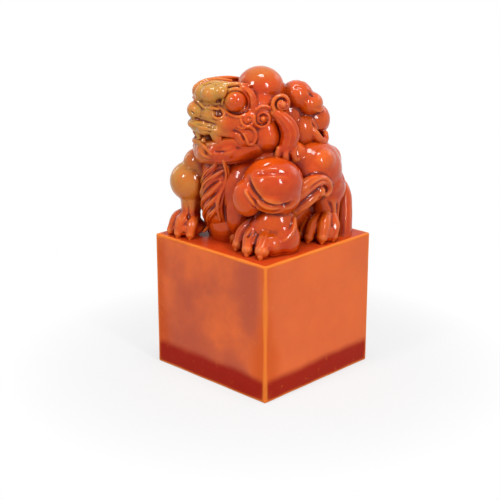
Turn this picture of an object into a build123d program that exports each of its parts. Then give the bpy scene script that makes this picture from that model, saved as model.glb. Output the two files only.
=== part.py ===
"""A carved stone seal: a square block, and a guardian lion cut from the top of the same stone as its handle.

The lion lies along the block, faces -Y and turns its head to its own right, towards -X. Its left flank is +X.
Each form that the carver cuts is a solid of its own. It meets the forms that carry it face to face, because
every form is cut by the ones that come before it in the carving order.
The origin is at the centre of the seal face, the block's underside, with +Z up. Lengths are millimetres.
"""
import os
from build123d import *

# The stone
stone_side = 40.0
block_height = 36.3
lion_height = 44.7
edge_round = 0.5

# The body
trunk_diameter = 19.2
belly_diameter = 13.4
neck_diameter = 15.0
chest_diameter = 15.4
chest_mane_diameter = 9.2
spine_roll_diameter = 7.2

# The legs, which are not alike: the left foreleg stands near the middle, the right one at its corner
left_shoulder_diameter = 14.2
left_elbow_diameter = 7.8
right_shoulder_diameter = 10.6
left_foreleg_diameter = 8.0
right_foreleg_diameter = 5.8
left_forepaw_width = 13.6
right_forepaw_width = 9.4
haunch_diameter = 16.0
hind_leg_diameter = 7.6
hind_paw_width = 10.4
toes_per_paw = 4

# How far each paw turns out from straight ahead, in degrees. The forepaws follow the turn of the head
left_forepaw_turn = -32.0
right_forepaw_turn = -24.0
hind_paw_turn = 12.0

# The tail and the flames behind the elbows
tail_diameter = 3.6
flame_diameter = 5.0

# The head, measured square to the way it faces
head_turn = 31.0
head_diameter = 17.4
crown_diameter = 11.8
muzzle_diameter = 10.4
nose_diameter = 6.4
nostril_diameter = 3.6
lip_diameter = 5.6
jaw_diameter = 7.4
tongue_diameter = 2.8
canine_length = 4.4
canine_diameter = 2.0
brow_diameter = 5.0
eye_diameter = 5.0
ear_diameter = 5.4
ear_rim_thickness = 1.5
jowl_diameter = 6.8
cheek_curl_diameter = 3.8
side_lock_diameter = 4.8
mane_lock_diameter = 9.0

# Every ball is turned by these degrees, so that its seam and its two poles lie away from the planes
# in which the forms line up
seam_turn = (17, 23, 41)

half_side = stone_side / 2


def ball(diameter):
    """A round form about its own centre."""
    return Rot(*seam_turn) * Sphere(diameter / 2)


def on_stone(across_share, along_share, up_share):
    """A place on the stone, in shares of half its side from the middle and of the lion's height."""
    return Pos(half_side * across_share, half_side * along_share, block_height + lion_height * up_share)


def on_head(left_share, back_share, up_share):
    """A place in the turned head, in shares of half its diameter from its middle."""
    head_middle_shares = (0.05, -0.2, 0.74)
    half_head = head_diameter / 2
    place = Pos(half_head * left_share, half_head * back_share, half_head * up_share)
    return on_stone(*head_middle_shares) * Rot(0, 0, -head_turn) * place


def between(start, end, start_diameter, end_diameter):
    """A round-ended tapering form from one place to another."""
    span = end.position - start.position
    reach = span.length
    start_round, end_round = start_diameter / 2, end_diameter / 2
    slope = (start_round - end_round) / reach
    flank = (1 - slope ** 2) ** 0.5
    low = (start_round * flank, start_round * slope)
    high = (end_round * flank, reach + end_round * slope)
    outline = (
        RadiusArc((0, -start_round), low, -start_round)
        + Line(low, high)
        + RadiusArc(high, (0, reach + end_round), -end_round)
        + Line((0, reach + end_round), (0, -start_round))
    )
    profile = Plane.XZ * make_face(outline)
    return Plane(origin=start.position, z_dir=span) * revolve(profile, Axis.Z)


def strand(place, path_shares, diameter, diameter_shares):
    """A tapering lock along a path of places, lofted through one circle at each."""
    points = [place(*shares).position for shares in path_shares]
    circles = []
    for index, point in enumerate(points):
        before = points[max(index - 1, 0)]
        after = points[min(index + 1, len(points) - 1)]
        plane = Plane(origin=point, z_dir=after - before)
        circles.append(plane * Circle(diameter * diameter_shares[index] / 2))
    return loft(circles)


def fused(shapes):
    """One solid from shapes that overlap."""
    whole = shapes[0]
    for shape in shapes[1:]:
        whole = whole + shape
    return whole


def balls(place, diameter, rows):
    """Balls fused together, each row its place in shares and its diameter's share of the form's."""
    return fused([place(*row[:3]) * ball(diameter * row[3]) for row in rows])


def seal_block():
    """The square block, with its edges eased. Its flat underside is the face that takes the seal."""
    block = Pos(0, 0, block_height / 2) * Box(stone_side, stone_side, block_height)
    return fillet(block.edges(), edge_round)


def trunk():
    """The back and belly in three rounds, and the neck that rises from them under the head."""
    back_shares = [(0.03, -0.1, 0.37, 0.96), (0.02, 0.22, 0.38, 1.02), (0.02, 0.48, 0.36, 0.9)]
    neck_shares = [(0.12, -0.05, 0.56, 1)]
    return balls(on_stone, trunk_diameter, back_shares) + balls(on_stone, neck_diameter, neck_shares)


def belly():
    """The underside, left standing on the block behind the forelegs."""
    return between(on_stone(0.02, 0, 0.12), on_stone(0.02, 0.5, 0.12), belly_diameter, belly_diameter)


def chest():
    """The smooth breast between the forelegs."""
    return balls(on_stone, chest_diameter, [(0.03, -0.35, 0.26, 0.98), (0.015, -0.37, 0.36, 1)])


def chest_mane():
    """The beard of hair that hangs down the breast, full at the middle and narrow at its end."""
    middle = on_stone(-0.17, -0.63, 0.31)
    upper = between(middle, on_stone(-0.19, -0.58, 0.44), chest_mane_diameter, chest_mane_diameter * 0.9)
    return upper + between(middle, on_stone(-0.12, -0.62, 0.18), chest_mane_diameter, chest_mane_diameter * 0.76)


def left_shoulder():
    """The big round of the near shoulder, with the smaller round of its elbow at the front."""
    shoulder = balls(on_stone, left_shoulder_diameter, [(0.5, -0.48, 0.38, 1), (0.61, -0.35, 0.38, 0.97)])
    return shoulder + balls(on_stone, left_elbow_diameter, [(0.41, -0.7, 0.32, 1)])


def right_shoulder():
    """The far shoulder, two rounds one above the other."""
    return balls(on_stone, right_shoulder_diameter, [(-0.66, -0.7, 0.32, 1), (-0.56, -0.6, 0.44, 0.74)])


def foreleg(across_share, along_share, diameter):
    """The short shank under a shoulder, a little wider at its foot."""
    top = on_stone(across_share, along_share, 0.27)
    foot = on_stone(across_share, along_share - 0.02, 0.02)
    return between(top, foot, diameter * 0.92, diameter)


def haunch(side):
    """The round thigh of a hind leg."""
    rows_shares = [(0.47 * side, 0.41, 0.39, 1), (0.47 * side, 0.48, 0.33, 0.97), (0.48 * side, 0.68, 0.42, 0.5)]
    return balls(on_stone, haunch_diameter, rows_shares)


def hind_leg(side):
    """The short shank under a haunch."""
    top = on_stone(0.62 * side, 0.46, 0.24)
    foot = on_stone(0.65 * side, 0.5, 0.03)
    return between(top, foot, hind_leg_diameter, hind_leg_diameter * 0.94)


def paw(across_share, along_share, turn, width):
    """A paw that stands on the block, its toes in a fan turned about the upright."""
    toes = []
    for index in range(toes_per_paw):
        spread = index / (toes_per_paw - 1) * 2 - 1
        root = Pos(width * 0.12 * spread, width * 0.08 * abs(spread), width * 0.2)
        tip = root * Rot(0, 0, 44 * spread) * Pos(0, -width * 0.38, -width * 0.08)
        toes.append(between(root, tip, width * 0.5, width * 0.3))
    return on_stone(across_share, along_share, 0) * Rot(0, 0, turn) * fused(toes)


def flame(side):
    """The flame-shaped tuft that curls back from an elbow over the flank."""
    path_shares = [(0.6 * side, -0.3, 0.27), (0.74 * side, -0.1, 0.34), (0.74 * side, 0.1, 0.42),
                   (0.66 * side, 0.3, 0.44)]
    return strand(on_stone, path_shares, flame_diameter, (1, 0.86, 0.7, 0.42))


def spine_rolls():
    """The knobs of the backbone, from the mane down to the tail."""
    rows_shares = [(0.17, 0.78, 0.53, 1), (0.1, 0.83, 0.4, 0.92), (0, 0.83, 0.28, 0.88)]
    return [on_stone(*row[:3]) * Rot(71, 0, 0) * ball(spine_roll_diameter * row[3]) for row in rows_shares]


def tail():
    """The tail, from the rump round the left haunch and down to the block."""
    path_shares = [(0.1, 0.78, 0.2), (0.36, 0.88, 0.29), (0.6, 0.89, 0.24), (0.7, 0.83, 0.15),
                   (0.76, 0.76, 0.06), (0.8, 0.7, -0.02)]
    return strand(on_stone, path_shares, tail_diameter, (1.1, 1.05, 1, 1, 1, 1))


def upper_mane_lock():
    """The two-lobed lock of mane behind the crown."""
    return balls(on_head, mane_lock_diameter, [(-0.12, 1.27, 0.41, 0.94), (-0.03, 1.62, 0.15, 0.8)])


def lower_mane_lock():
    """The round lock below it, with the strand that hooks down from it to the back."""
    return balls(on_head, mane_lock_diameter, [(-0.4, 1.82, -0.36, 1), (-0.14, 1.71, -0.87, 0.62)])


def right_mane_locks():
    """The same locks on the far side of the neck."""
    rows_shares = [(-0.97, 0.86, 0.26, 0.96), (-1.26, 1.25, -0.46, 0.98), (-1.33, 0.65, -0.82, 0.84)]
    return balls(on_head, mane_lock_diameter, rows_shares)


def skull():
    """The core of the head, which carries the face."""
    return on_head(0, 0, 0) * ball(head_diameter)


def crown_knob():
    """The smooth dome on top of the head."""
    return on_head(0, 0.16, 0.67) * ball(crown_diameter)


def muzzle():
    """The snout, and the bridge of the nose above it."""
    return balls(on_head, muzzle_diameter, [(0, -1.18, -0.12, 1), (0, -1, 0.26, 0.84)])


def nose():
    """The ball of the nose between its two nostril wings."""
    wings = [on_head(0.38 * side, -1.46, 0.08) * ball(nostril_diameter) for side in (1, -1)]
    return fused([on_head(0, -1.62, 0.14) * ball(nose_diameter)] + wings)


def upper_lip():
    """The curled upper lip, with a roll on each side that runs back to the corner of the mouth."""
    shapes = [on_head(0, -1.54, -0.28) * ball(lip_diameter)]
    for side in (1, -1):
        front = on_head(0.3 * side, -1.4, -0.3)
        corner = on_head(0.68 * side, -0.66, -0.58)
        shapes.append(between(front, corner, lip_diameter, lip_diameter * 0.5))
    return fused(shapes)


def lower_jaw():
    """The jaw, two rounds that meet in the chin, which stands forward under the open mouth."""
    sides = []
    for side in (1, -1):
        chin = on_head(0.2 * side, -1.54, -1.1)
        hinge = on_head(0.36 * side, -0.42, -1.05)
        sides.append(between(chin, hinge, jaw_diameter * 0.68, jaw_diameter * 1.04))
    return fused(sides)


def tongue():
    """The tongue, which lies in the jaw and lifts at its tip."""
    return between(on_head(0.02, -0.9, -0.66), on_head(0, -1.6, -0.74), tongue_diameter, tongue_diameter * 0.8)


def canines():
    """The two upper canines, which hang from the lip and stand on the jaw."""
    teeth = []
    for side in (1, -1):
        tooth = Rot(180, 0, 0) * Cone(canine_diameter / 2, canine_diameter / 5, canine_length)
        teeth.append(on_head(0.47 * side, -1.2, -0.72) * tooth)
    return teeth


def brow(side):
    """A swollen brow, and the heavy lid that runs from it over the eye and down behind it."""
    inner = on_head(0.22 * side, -1.48, 0.56)
    crest = on_head(0.5 * side, -0.98, 0.78)
    behind = on_head(0.86 * side, -0.44, 0.56)
    swelling = between(inner, crest, brow_diameter, brow_diameter * 0.84)
    return swelling + between(crest, behind, brow_diameter * 0.56, brow_diameter * 0.36)


def eye(side):
    """A bulging round eye."""
    return on_head(0.7 * side, -0.73, 0.5) * ball(eye_diameter)


def ear(side):
    """A small ear curled into a snail, its rim standing proud."""
    rim = Torus((ear_diameter - ear_rim_thickness) / 2, ear_rim_thickness / 2)
    cup = on_head(0.82 * side, 0.52, 0.4) * ball(ear_diameter * 0.9)
    return cup + on_head(0.98 * side, 0.52, 0.4) * Rot(0, 83 * side, 7) * rim


def jowl(side):
    """The heavy round cheek behind the corner of the mouth."""
    return balls(on_head, jowl_diameter, [(0.7 * side, 0.18, -0.46, 1.06), (0.68 * side, 0.14, -0.76, 0.98)])


def cheek_curls(side):
    """The three curls of beard on a cheek: two side by side and a longer one at the mouth's corner."""
    rows_shares = [(0.82 * side, -0.4, 0.04, 0.74), (0.93 * side, -0.06, 0.02, 0.94), (0.85 * side, -0.3, -0.42, 1)]
    return [on_head(*row[:3]) * Rot(71, 0, 0) * ball(cheek_curl_diameter * row[3]) for row in rows_shares]


def side_lock(side):
    """The long lock that falls from behind the ear to the shoulder and hooks at its end."""
    path_shares = [(0.84 * side, 0.36, 0.1), (0.98 * side, 0.72, -0.2), (1.04 * side, 0.94, -0.62),
                   (1.05 * side, 0.9, -1.05), (1.0 * side, 0.68, -1.42)]
    return strand(on_head, path_shares, side_lock_diameter, (0.8, 1, 1.02, 0.94, 0.7))


# The carving order: each form is cut by every form before it that it reaches
carving_order = {
    "seal_block": seal_block(),
    "trunk": trunk(),
    "belly": belly(),
    "chest": chest(),
    "left_shoulder": left_shoulder(),
    "right_shoulder": right_shoulder(),
    "left_haunch": haunch(1),
    "right_haunch": haunch(-1),
    "left_foreleg": foreleg(0.66, -0.37, left_foreleg_diameter),
    "right_foreleg": foreleg(-0.63, -0.71, right_foreleg_diameter),
    "left_hind_leg": hind_leg(1),
    "right_hind_leg": hind_leg(-1),
    "left_forepaw": paw(0.48, -0.5, left_forepaw_turn, left_forepaw_width),
    "right_forepaw": paw(-0.66, -0.72, right_forepaw_turn, right_forepaw_width),
    "left_hind_paw": paw(0.68, 0.38, -hind_paw_turn, hind_paw_width),
    "right_hind_paw": paw(-0.68, 0.38, hind_paw_turn, hind_paw_width),
    "skull": skull(),
    "crown_knob": crown_knob(),
    "muzzle": muzzle(),
    "lower_jaw": lower_jaw(),
    "upper_lip": upper_lip(),
    "nose": nose(),
    "tongue": tongue(),
    "left_jowl": jowl(1),
    "right_jowl": jowl(-1),
    "left_eye": eye(1),
    "right_eye": eye(-1),
    "left_brow": brow(1),
    "right_brow": brow(-1),
    "left_ear": ear(1),
    "right_ear": ear(-1),
    "left_cheek_curls": cheek_curls(1),
    "right_cheek_curls": cheek_curls(-1),
    "chest_mane": chest_mane(),
    "upper_mane_lock": upper_mane_lock(),
    "lower_mane_lock": lower_mane_lock(),
    "right_mane_locks": right_mane_locks(),
    "left_side_lock": side_lock(1),
    "right_side_lock": side_lock(-1),
    "spine_rolls": spine_rolls(),
    "tail": tail(),
    "left_flame": flame(1),
    "right_flame": flame(-1),
    "canines": canines(),
}


def meet(first, second):
    """Whether the boxes round two shapes overlap."""
    one = first.bounding_box()
    two = second.bounding_box()
    spans = zip((one.min, two.min), (two.max, one.max))
    return all(low.X < high.X and low.Y < high.Y and low.Z < high.Z for low, high in spans)


def carved(shape, earlier):
    """The shape without what the earlier ones take from it."""
    for neighbour in earlier:
        if meet(shape, neighbour):
            shape = shape - neighbour
    return shape


os.makedirs("parts", exist_ok=True)
earlier = []
for name, form in carving_order.items():
    solids = []
    for shape in form if isinstance(form, list) else [form]:
        solids += carved(shape, earlier).solids()
        earlier.append(shape)
    export_step(Compound(children=solids) if len(solids) > 1 else solids[0], f"parts/{name}.step")
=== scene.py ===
"""A carved stone seal with a guardian lion on top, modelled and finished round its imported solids."""
import math

import bpy
import numpy as np
from bpy.props import FloatProperty, FloatVectorProperty, PointerProperty
from mathutils import Euler, Matrix, Vector


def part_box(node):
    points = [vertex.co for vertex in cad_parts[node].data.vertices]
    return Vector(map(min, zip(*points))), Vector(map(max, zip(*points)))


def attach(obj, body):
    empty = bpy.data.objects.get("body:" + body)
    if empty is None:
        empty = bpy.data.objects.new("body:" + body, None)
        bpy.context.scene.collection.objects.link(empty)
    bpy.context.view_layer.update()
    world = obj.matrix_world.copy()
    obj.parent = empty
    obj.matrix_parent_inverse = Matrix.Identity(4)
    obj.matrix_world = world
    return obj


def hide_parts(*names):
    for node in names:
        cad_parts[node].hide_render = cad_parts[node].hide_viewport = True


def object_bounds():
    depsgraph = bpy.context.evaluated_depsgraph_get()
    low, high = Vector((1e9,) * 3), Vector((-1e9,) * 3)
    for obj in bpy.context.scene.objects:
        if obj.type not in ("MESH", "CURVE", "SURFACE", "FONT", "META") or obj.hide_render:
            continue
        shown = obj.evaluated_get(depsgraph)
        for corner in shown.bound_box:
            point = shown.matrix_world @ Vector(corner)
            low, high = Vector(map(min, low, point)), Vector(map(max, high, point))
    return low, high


bl_info = {
    "name": "Guardian lion seal",
    "version": (1, 0, 0),
    "blender": (4, 5, 0),
    "location": "View3D > Sidebar > Lion seal",
    "description": "Models a carved stone seal: its block, the lion that is its handle, and the studio",
    "category": "Object",
}

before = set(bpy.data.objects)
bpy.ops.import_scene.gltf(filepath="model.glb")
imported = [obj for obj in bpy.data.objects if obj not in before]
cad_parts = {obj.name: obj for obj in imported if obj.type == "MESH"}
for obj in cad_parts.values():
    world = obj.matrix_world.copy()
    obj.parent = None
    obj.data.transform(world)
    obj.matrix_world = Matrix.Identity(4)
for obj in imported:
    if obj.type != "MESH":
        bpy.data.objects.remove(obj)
CAD_LOW, CAD_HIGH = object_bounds()

# Places are in millimetres from the middle of the block's top, measured on a stone with a 40 mm side
BLOCK_LOW, BLOCK_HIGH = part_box("seal_block")
SIDE = BLOCK_HIGH[0] - BLOCK_LOW[0]
MM = SIDE / 40
TOP = BLOCK_HIGH[2]

# The head faces along its own -Y, which is turned from the stone's -Y to the lion's right
HEAD_TURN = math.radians(-31)
HEAD_MIDDLE = (1.0, -4.0)
BODY = "root"

# Laying places on a surface: how far outside it a ray starts and how far a place may move, in millimetres
RAY_START = 12
LAID_REACH = 3.5

# How soon a groove reaches its full depth from its ends, and how a spiral is stepped and thins inwards
GROOVE_FULLNESS = 1.6
SPIRAL_STEPS = 10
SPIRAL_THINNING = 0.35

# Smoothing passes after which the hollows are read, each with its weight
HOLLOW_PASSES = {4: 1.6, 40: 0.55}

# Painted shade where forms stand close together: the cell in millimetres, the cells each way, the samples of
# the block's top, the two reaches, and the crowding at which the painted shade starts and the further
# crowding at which it is full
PAINTED_SHADE_CELL = 0.8
PAINTED_SHADE_CELLS = (66, 66, 74)
PAINTED_SHADE_MARGIN_SHARE = 0.65
CELLS_BELOW_TOP = 6
TOP_SAMPLES = 160
PAINTED_SHADE_REACHES = (2.0, 4.5)
SHADE_START = 0.11
SHADE_SPREAD = 0.19

# A claw's start, middle and point: ahead, up and half thickness, in shares of the toe tip's half thickness
CLAW_SHARES = ((0, 0, 0.5), (0.5, -0.3, 0.42), (0.62, -0.85, 0.2))
CLAW_ROOT_SHARES = (0.5, 0.1)
LOWEST_POINT = 0.15


def stone_space():
    """The space of the body: millimetres from the middle of the block's top."""
    return Matrix.Translation((0, 0, TOP)) @ Matrix.Scale(MM, 4)


def head_space():
    """The space of the head: its own left, its back and the height above the block, in millimetres."""
    middle = Matrix.Translation((*HEAD_MIDDLE, 0))
    return stone_space() @ middle @ Matrix.Rotation(HEAD_TURN, 4, "Z")


def mirrored(rows, side):
    """Rows of places with their first number turned to the lion's left, 1, or its right, -1."""
    return [(row[0] * side, *row[1:]) for row in rows]


def mirrored_lumps(rows, side):
    """Rows for lumps with their places mirrored in the same way."""
    return [((row[0][0] * side, *row[0][1:]), *row[1:]) for row in rows]


def mirrored_strokes(strokes, side):
    """Strokes for cut with their places mirrored in the same way."""
    return [(half_width, depth, mirrored(rows, side)) for half_width, depth, rows in strokes]


# Modelling with lumps and rolls, as a carver roughs out forms

def pick(*objects):
    """Selects these objects and no others. The first one is the active one."""
    bpy.ops.object.select_all(action="DESELECT")
    for item in objects:
        item.select_set(True)
    bpy.context.view_layer.objects.active = objects[0]


def finish_modifier(item, kind, **settings):
    """Adds a modifier with these settings and applies it."""
    modifier = item.modifiers.new(kind.lower(), kind)
    for key, value in settings.items():
        setattr(modifier, key, value)
    pick(item)
    bpy.ops.object.modifier_apply(modifier=modifier.name)


def lump(space, place, sizes, turn=(0, 0, 0)):
    """A round lump: its middle and its half sizes in the given space, turned by degrees."""
    bpy.ops.mesh.primitive_uv_sphere_add(segments=30, ring_count=18, radius=1)
    item = bpy.context.object
    angles = Euler([math.radians(angle) for angle in turn])
    shape = Matrix.LocRotScale(Vector(place), angles, Vector(sizes))
    item.matrix_world = space @ shape
    pick(item)
    bpy.ops.object.transform_apply(location=True, rotation=True, scale=True)
    return item


def lumps(space, rows):
    """Lumps from rows of place, half sizes and, where one is given, turn."""
    return [lump(space, row[0], row[1], *row[2:]) for row in rows]


def roll(space, rows):
    """A round roll along places, each row its place and its half thickness."""
    curve = bpy.data.curves.new("roll", "CURVE")
    curve.dimensions = "3D"
    curve.resolution_u = 8
    curve.bevel_depth = 1
    curve.bevel_resolution = 3
    curve.use_fill_caps = True
    spline = curve.splines.new("BEZIER")
    spline.bezier_points.add(len(rows) - 1)
    for point, row in zip(spline.bezier_points, rows):
        point.co = row[:3]
        point.radius = row[3]
        point.handle_left_type = point.handle_right_type = "AUTO"
    item = bpy.data.objects.new("roll", curve)
    bpy.context.collection.objects.link(item)
    item.matrix_world = space
    pick(item)
    bpy.ops.object.convert(target="MESH")
    bpy.ops.object.transform_apply(location=True, rotation=True, scale=True)
    ends = [(rows[0][:3], rows[0][3]), (rows[-1][:3], rows[-1][3])]
    caps = [lump(space, place, [radius * 0.99] * 3) for place, radius in ends]
    return joined([item, *caps])


def joined(items):
    """One object from several."""
    pick(*items)
    if len(items) > 1:
        bpy.ops.object.join()
    return bpy.context.object


def merged(items, grain, softening):
    """One skin round all the items, with this grain in millimetres and so many passes of softening."""
    item = joined(items)
    finish_modifier(item, "REMESH", mode="VOXEL", voxel_size=grain * MM)
    if softening:
        finish_modifier(item, "SMOOTH", factor=0.5, iterations=softening)
    return item


def points_of(item):
    """The item's points as an array."""
    places = np.empty(len(item.data.vertices) * 3, np.float32)
    item.data.vertices.foreach_get("co", places)
    return places.reshape(-1, 3).astype(float)


def normals_of(item):
    """The item's point normals as an array."""
    normals = np.empty(len(item.data.vertices) * 3, np.float32)
    item.data.vertex_normals.foreach_get("vector", normals)
    return normals.reshape(-1, 3).astype(float)


def move_points(item, places):
    """Puts the item's points at these places."""
    item.data.vertices.foreach_set("co", places.astype(np.float32).ravel())
    item.data.update()


def smooth_path(rows, steps=10):
    """A smooth run of points through rows of numbers, with an equal number of steps between rows."""
    rows = np.array(rows, float)
    padded = np.vstack([2 * rows[0] - rows[1], rows, 2 * rows[-1] - rows[-2]])
    out = []
    for index in range(1, len(padded) - 2):
        before, start, end, after = padded[index - 1:index + 3]
        for step in range(steps):
            t = step / steps
            slope = (end - before) * t
            bend = (2 * before - 5 * start + 4 * end - after) * t ** 2
            twist = (3 * start - before - 3 * end + after) * t ** 3
            out.append(0.5 * (2 * start + slope + bend + twist))
    out.append(padded[-2])
    return np.array(out)


def laid(item, space, way, rows, lift=0):
    """The rows with each place moved along the given way, from outside, until it meets the item's surface."""
    way = Vector(way).normalized()
    back = space.inverted()
    inward = (space.to_3x3() @ way).normalized()
    out = []
    for row in rows:
        place = Vector(row[:3])
        hit, met, _, _ = item.ray_cast(space @ (place - way * RAY_START), inward)
        if hit and ((back @ met) - place).length < LAID_REACH:
            place = back @ met - way * lift
        out.append((*place, *row[3:]))
    return out


def laid_strokes(item, space, way, strokes):
    """Strokes for cut with their places laid on the item's surface."""
    return [(half_width, depth, laid(item, space, way, rows)) for half_width, depth, rows in strokes]


def cut(item, space, strokes):
    """Cuts grooves into an item, or raises ridges on it where the depth is below zero.

    Each stroke is its half width, its depth and its rows of places. A stroke thins out towards both ends.
    """
    places, normals = points_of(item), normals_of(item)
    shift = np.zeros(len(places))
    for half_width, depth, rows in strokes:
        line = smooth_path(rows)
        along = np.linspace(0, 1, len(line))
        strength = np.clip(np.sin(math.pi * along) * GROOVE_FULLNESS, 0, 1)
        line = np.array([space @ Vector(row) for row in line])
        reach = half_width * MM
        near = np.all((places > line.min(0) - reach) & (places < line.max(0) + reach), axis=1).nonzero()[0]
        if not len(near):
            continue
        gaps = np.linalg.norm(places[near, None] - line[None], axis=2)
        nearest = gaps.argmin(1)
        share = np.clip(1 - (gaps[np.arange(len(near)), nearest] / reach) ** 2, 0, 1)
        push = depth * MM * share ** 2 * strength[nearest]
        stronger = np.abs(push) > np.abs(shift[near])
        shift[near[stronger]] = push[stronger]
    move_points(item, places - normals * shift[:, None])


def spiral(middle, axis, start, radius, end_radius, turns, thickness, lift=0):
    """Rows for a roll that curls round an axis from one radius to another. The start is in degrees."""
    axis = Vector(axis).normalized()
    level = axis.cross(Vector((0, 0, 1))).normalized()
    rise = level.cross(axis).normalized()
    rows = []
    steps = max(int(abs(turns) * SPIRAL_STEPS), 4)
    for step in range(steps + 1):
        share = step / steps
        angle = math.radians(start) + 2 * math.pi * turns * share
        reach = radius + (end_radius - radius) * share
        arm = (level * math.cos(angle) + rise * math.sin(angle)) * reach
        place = Vector(middle) + arm + axis * lift * share
        rows.append((*place, thickness * (1 - SPIRAL_THINNING * share)))
    return rows


def store_hollows(item):
    """Stores how hollow the surface is at each point: above a half in a groove, below on a ridge."""
    places, normals = points_of(item), normals_of(item)
    edges = np.empty(len(item.data.edges) * 2, np.int32)
    item.data.edges.foreach_get("vertices", edges)
    one, two = edges.reshape(-1, 2).T
    count = np.bincount(one, minlength=len(places)) + np.bincount(two, minlength=len(places))
    count = np.maximum(count, 1)
    value = np.zeros(len(places))
    average = places.copy()
    for step in range(1, max(HOLLOW_PASSES) + 1):
        total = np.zeros_like(average)
        for axis in range(3):
            total[:, axis] += np.bincount(one, average[two, axis], len(places))
            total[:, axis] += np.bincount(two, average[one, axis], len(places))
        average = total / count[:, None]
        if step in HOLLOW_PASSES:
            depth = ((average - places) * normals).sum(1) / MM
            value += depth * HOLLOW_PASSES[step]
    layer = item.data.attributes.new("hollow", "FLOAT", "POINT")
    layer.data.foreach_set("value", np.clip(0.5 + value, 0, 1).astype(np.float32))


def blurred(grid, reach):
    """The grid averaged over a box of so many cells each way."""
    for axis in range(3):
        total = np.zeros_like(grid)
        for step in range(-reach, reach + 1):
            total += np.roll(grid, step, axis)
        grid = total / (2 * reach + 1)
    return grid


def store_painted_shade(pieces):
    """Stores painted shade at each point: 0 in the open, 1 deep between forms that stand close together."""
    cell = PAINTED_SHADE_CELL * MM
    corner = -SIDE * PAINTED_SHADE_MARGIN_SHARE
    start = np.array([corner, corner, TOP - CELLS_BELOW_TOP * cell])
    crowd = np.zeros(PAINTED_SHADE_CELLS)
    across = np.linspace(-SIDE / 2, SIDE / 2, TOP_SAMPLES)
    ground = np.array(np.meshgrid(across, across, [TOP])).reshape(3, -1).T
    clouds = [(ground, (SIDE / TOP_SAMPLES) ** 2)]
    for piece in pieces:
        area = sum(face.area for face in piece.data.polygons)
        clouds.append((points_of(piece), area / len(piece.data.vertices)))
    for places, share in clouds:
        index = ((places - start) / cell).astype(int)
        kept = np.all((index >= 0) & (index < PAINTED_SHADE_CELLS), axis=1)
        flat = np.ravel_multi_index(index[kept].T, PAINTED_SHADE_CELLS)
        crowd += np.bincount(flat, minlength=crowd.size).reshape(PAINTED_SHADE_CELLS) * share
    crowd = blurred(blurred(crowd, 2), 2) / cell ** 2
    for piece in pieces:
        places, normals = points_of(piece), normals_of(piece)
        value = np.zeros(len(places))
        for reach in PAINTED_SHADE_REACHES:
            index = ((places + normals * reach * MM - start) / cell).astype(int)
            index = np.clip(index, 0, np.array(PAINTED_SHADE_CELLS) - 1)
            value += crowd[tuple(index.T)] / len(PAINTED_SHADE_REACHES)
        # The painted shade: darker where other forms crowd round a point and keep the light out
        layer = piece.data.attributes.new("painted_shade", "FLOAT", "POINT")
        shade = np.clip((value - SHADE_START) / SHADE_SPREAD, 0, 1)
        layer.data.foreach_set("value", shade.astype(np.float32))


def hand_in(item, name, material, nodes):
    """Names a finished piece, gives it its finish and ties it to the solids that it stands for."""
    pick(item)
    bpy.ops.object.transform_apply(location=True, rotation=True, scale=True)
    bpy.ops.object.shade_smooth()
    item.name = item.data.name = name
    store_hollows(item)
    item.data.materials.clear()
    item.data.materials.append(material)
    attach(item, BODY)
    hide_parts(*nodes)
    return item


# Finishes

def new_group(name, inputs, outputs):
    """An empty shader group. Each input is a name, a kind and a value, and each output a name and a kind."""
    group = bpy.data.node_groups.new(name, "ShaderNodeTree")
    for label, kind, value in inputs:
        socket = group.interface.new_socket(name=label, in_out="INPUT", socket_type=kind)
        socket.default_value = value
    for label, kind in outputs:
        group.interface.new_socket(name=label, in_out="OUTPUT", socket_type=kind)
    group.nodes.new("NodeGroupInput")
    group.nodes.new("NodeGroupOutput")
    return group


def node(tree, kind, **settings):
    """A new node with its settings and, by the name of the input, its values."""
    made = tree.nodes.new(kind)
    for key, value in settings.pop("values", {}).items():
        made.inputs[key].default_value = value
    for key, value in settings.items():
        setattr(made, key, value)
    return made


def ramp(tree, stops):
    """A ramp of greys with these stops, each a place from 0 to 1 and a grey."""
    made = tree.nodes.new("ShaderNodeValToRGB")
    elements = made.color_ramp.elements
    while len(elements) < len(stops):
        elements.new(0.5)
    for element, (place, grey) in zip(elements, stops):
        element.position = place
        element.color = (grey, grey, grey, 1)
    return made


def maths(tree, operation, first, second=None, clamp=False):
    """A maths node on two inputs, each a socket or a number."""
    made = tree.nodes.new("ShaderNodeMath")
    made.operation = operation
    made.use_clamp = clamp
    for index, value in enumerate((first, second)):
        if value is None:
            continue
        if isinstance(value, (int, float)):
            made.inputs[index].default_value = value
        else:
            tree.links.new(value, made.inputs[index])
    return made.outputs[0]


def blended(tree, share, first, second):
    """A mix of two colours, each a socket or a colour, by a share."""
    made = tree.nodes.new("ShaderNodeMix")
    made.data_type = "RGBA"
    for index, value in ((0, share), (6, first), (7, second)):
        if isinstance(value, (int, float)):
            made.inputs[index].default_value = value
        elif isinstance(value, tuple):
            made.inputs[index].default_value = (*value, 1)
        else:
            tree.links.new(value, made.inputs[index])
    return made.outputs[2]


def ramped(tree, value, low, high):
    """A value spread from 0 at low to 1 at high."""
    made = node(tree, "ShaderNodeMapRange", interpolation_type="SMOOTHSTEP")
    made.inputs["From Min"].default_value = low
    made.inputs["From Max"].default_value = high
    tree.links.new(value, made.inputs["Value"])
    return made.outputs["Result"]


def tinted(tree, base, colour, share, strength):
    """A colour with another laid over it, where the share is high, at a strength."""
    return blended(tree, maths(tree, "MULTIPLY", share, strength), base, tuple(colour))


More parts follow.
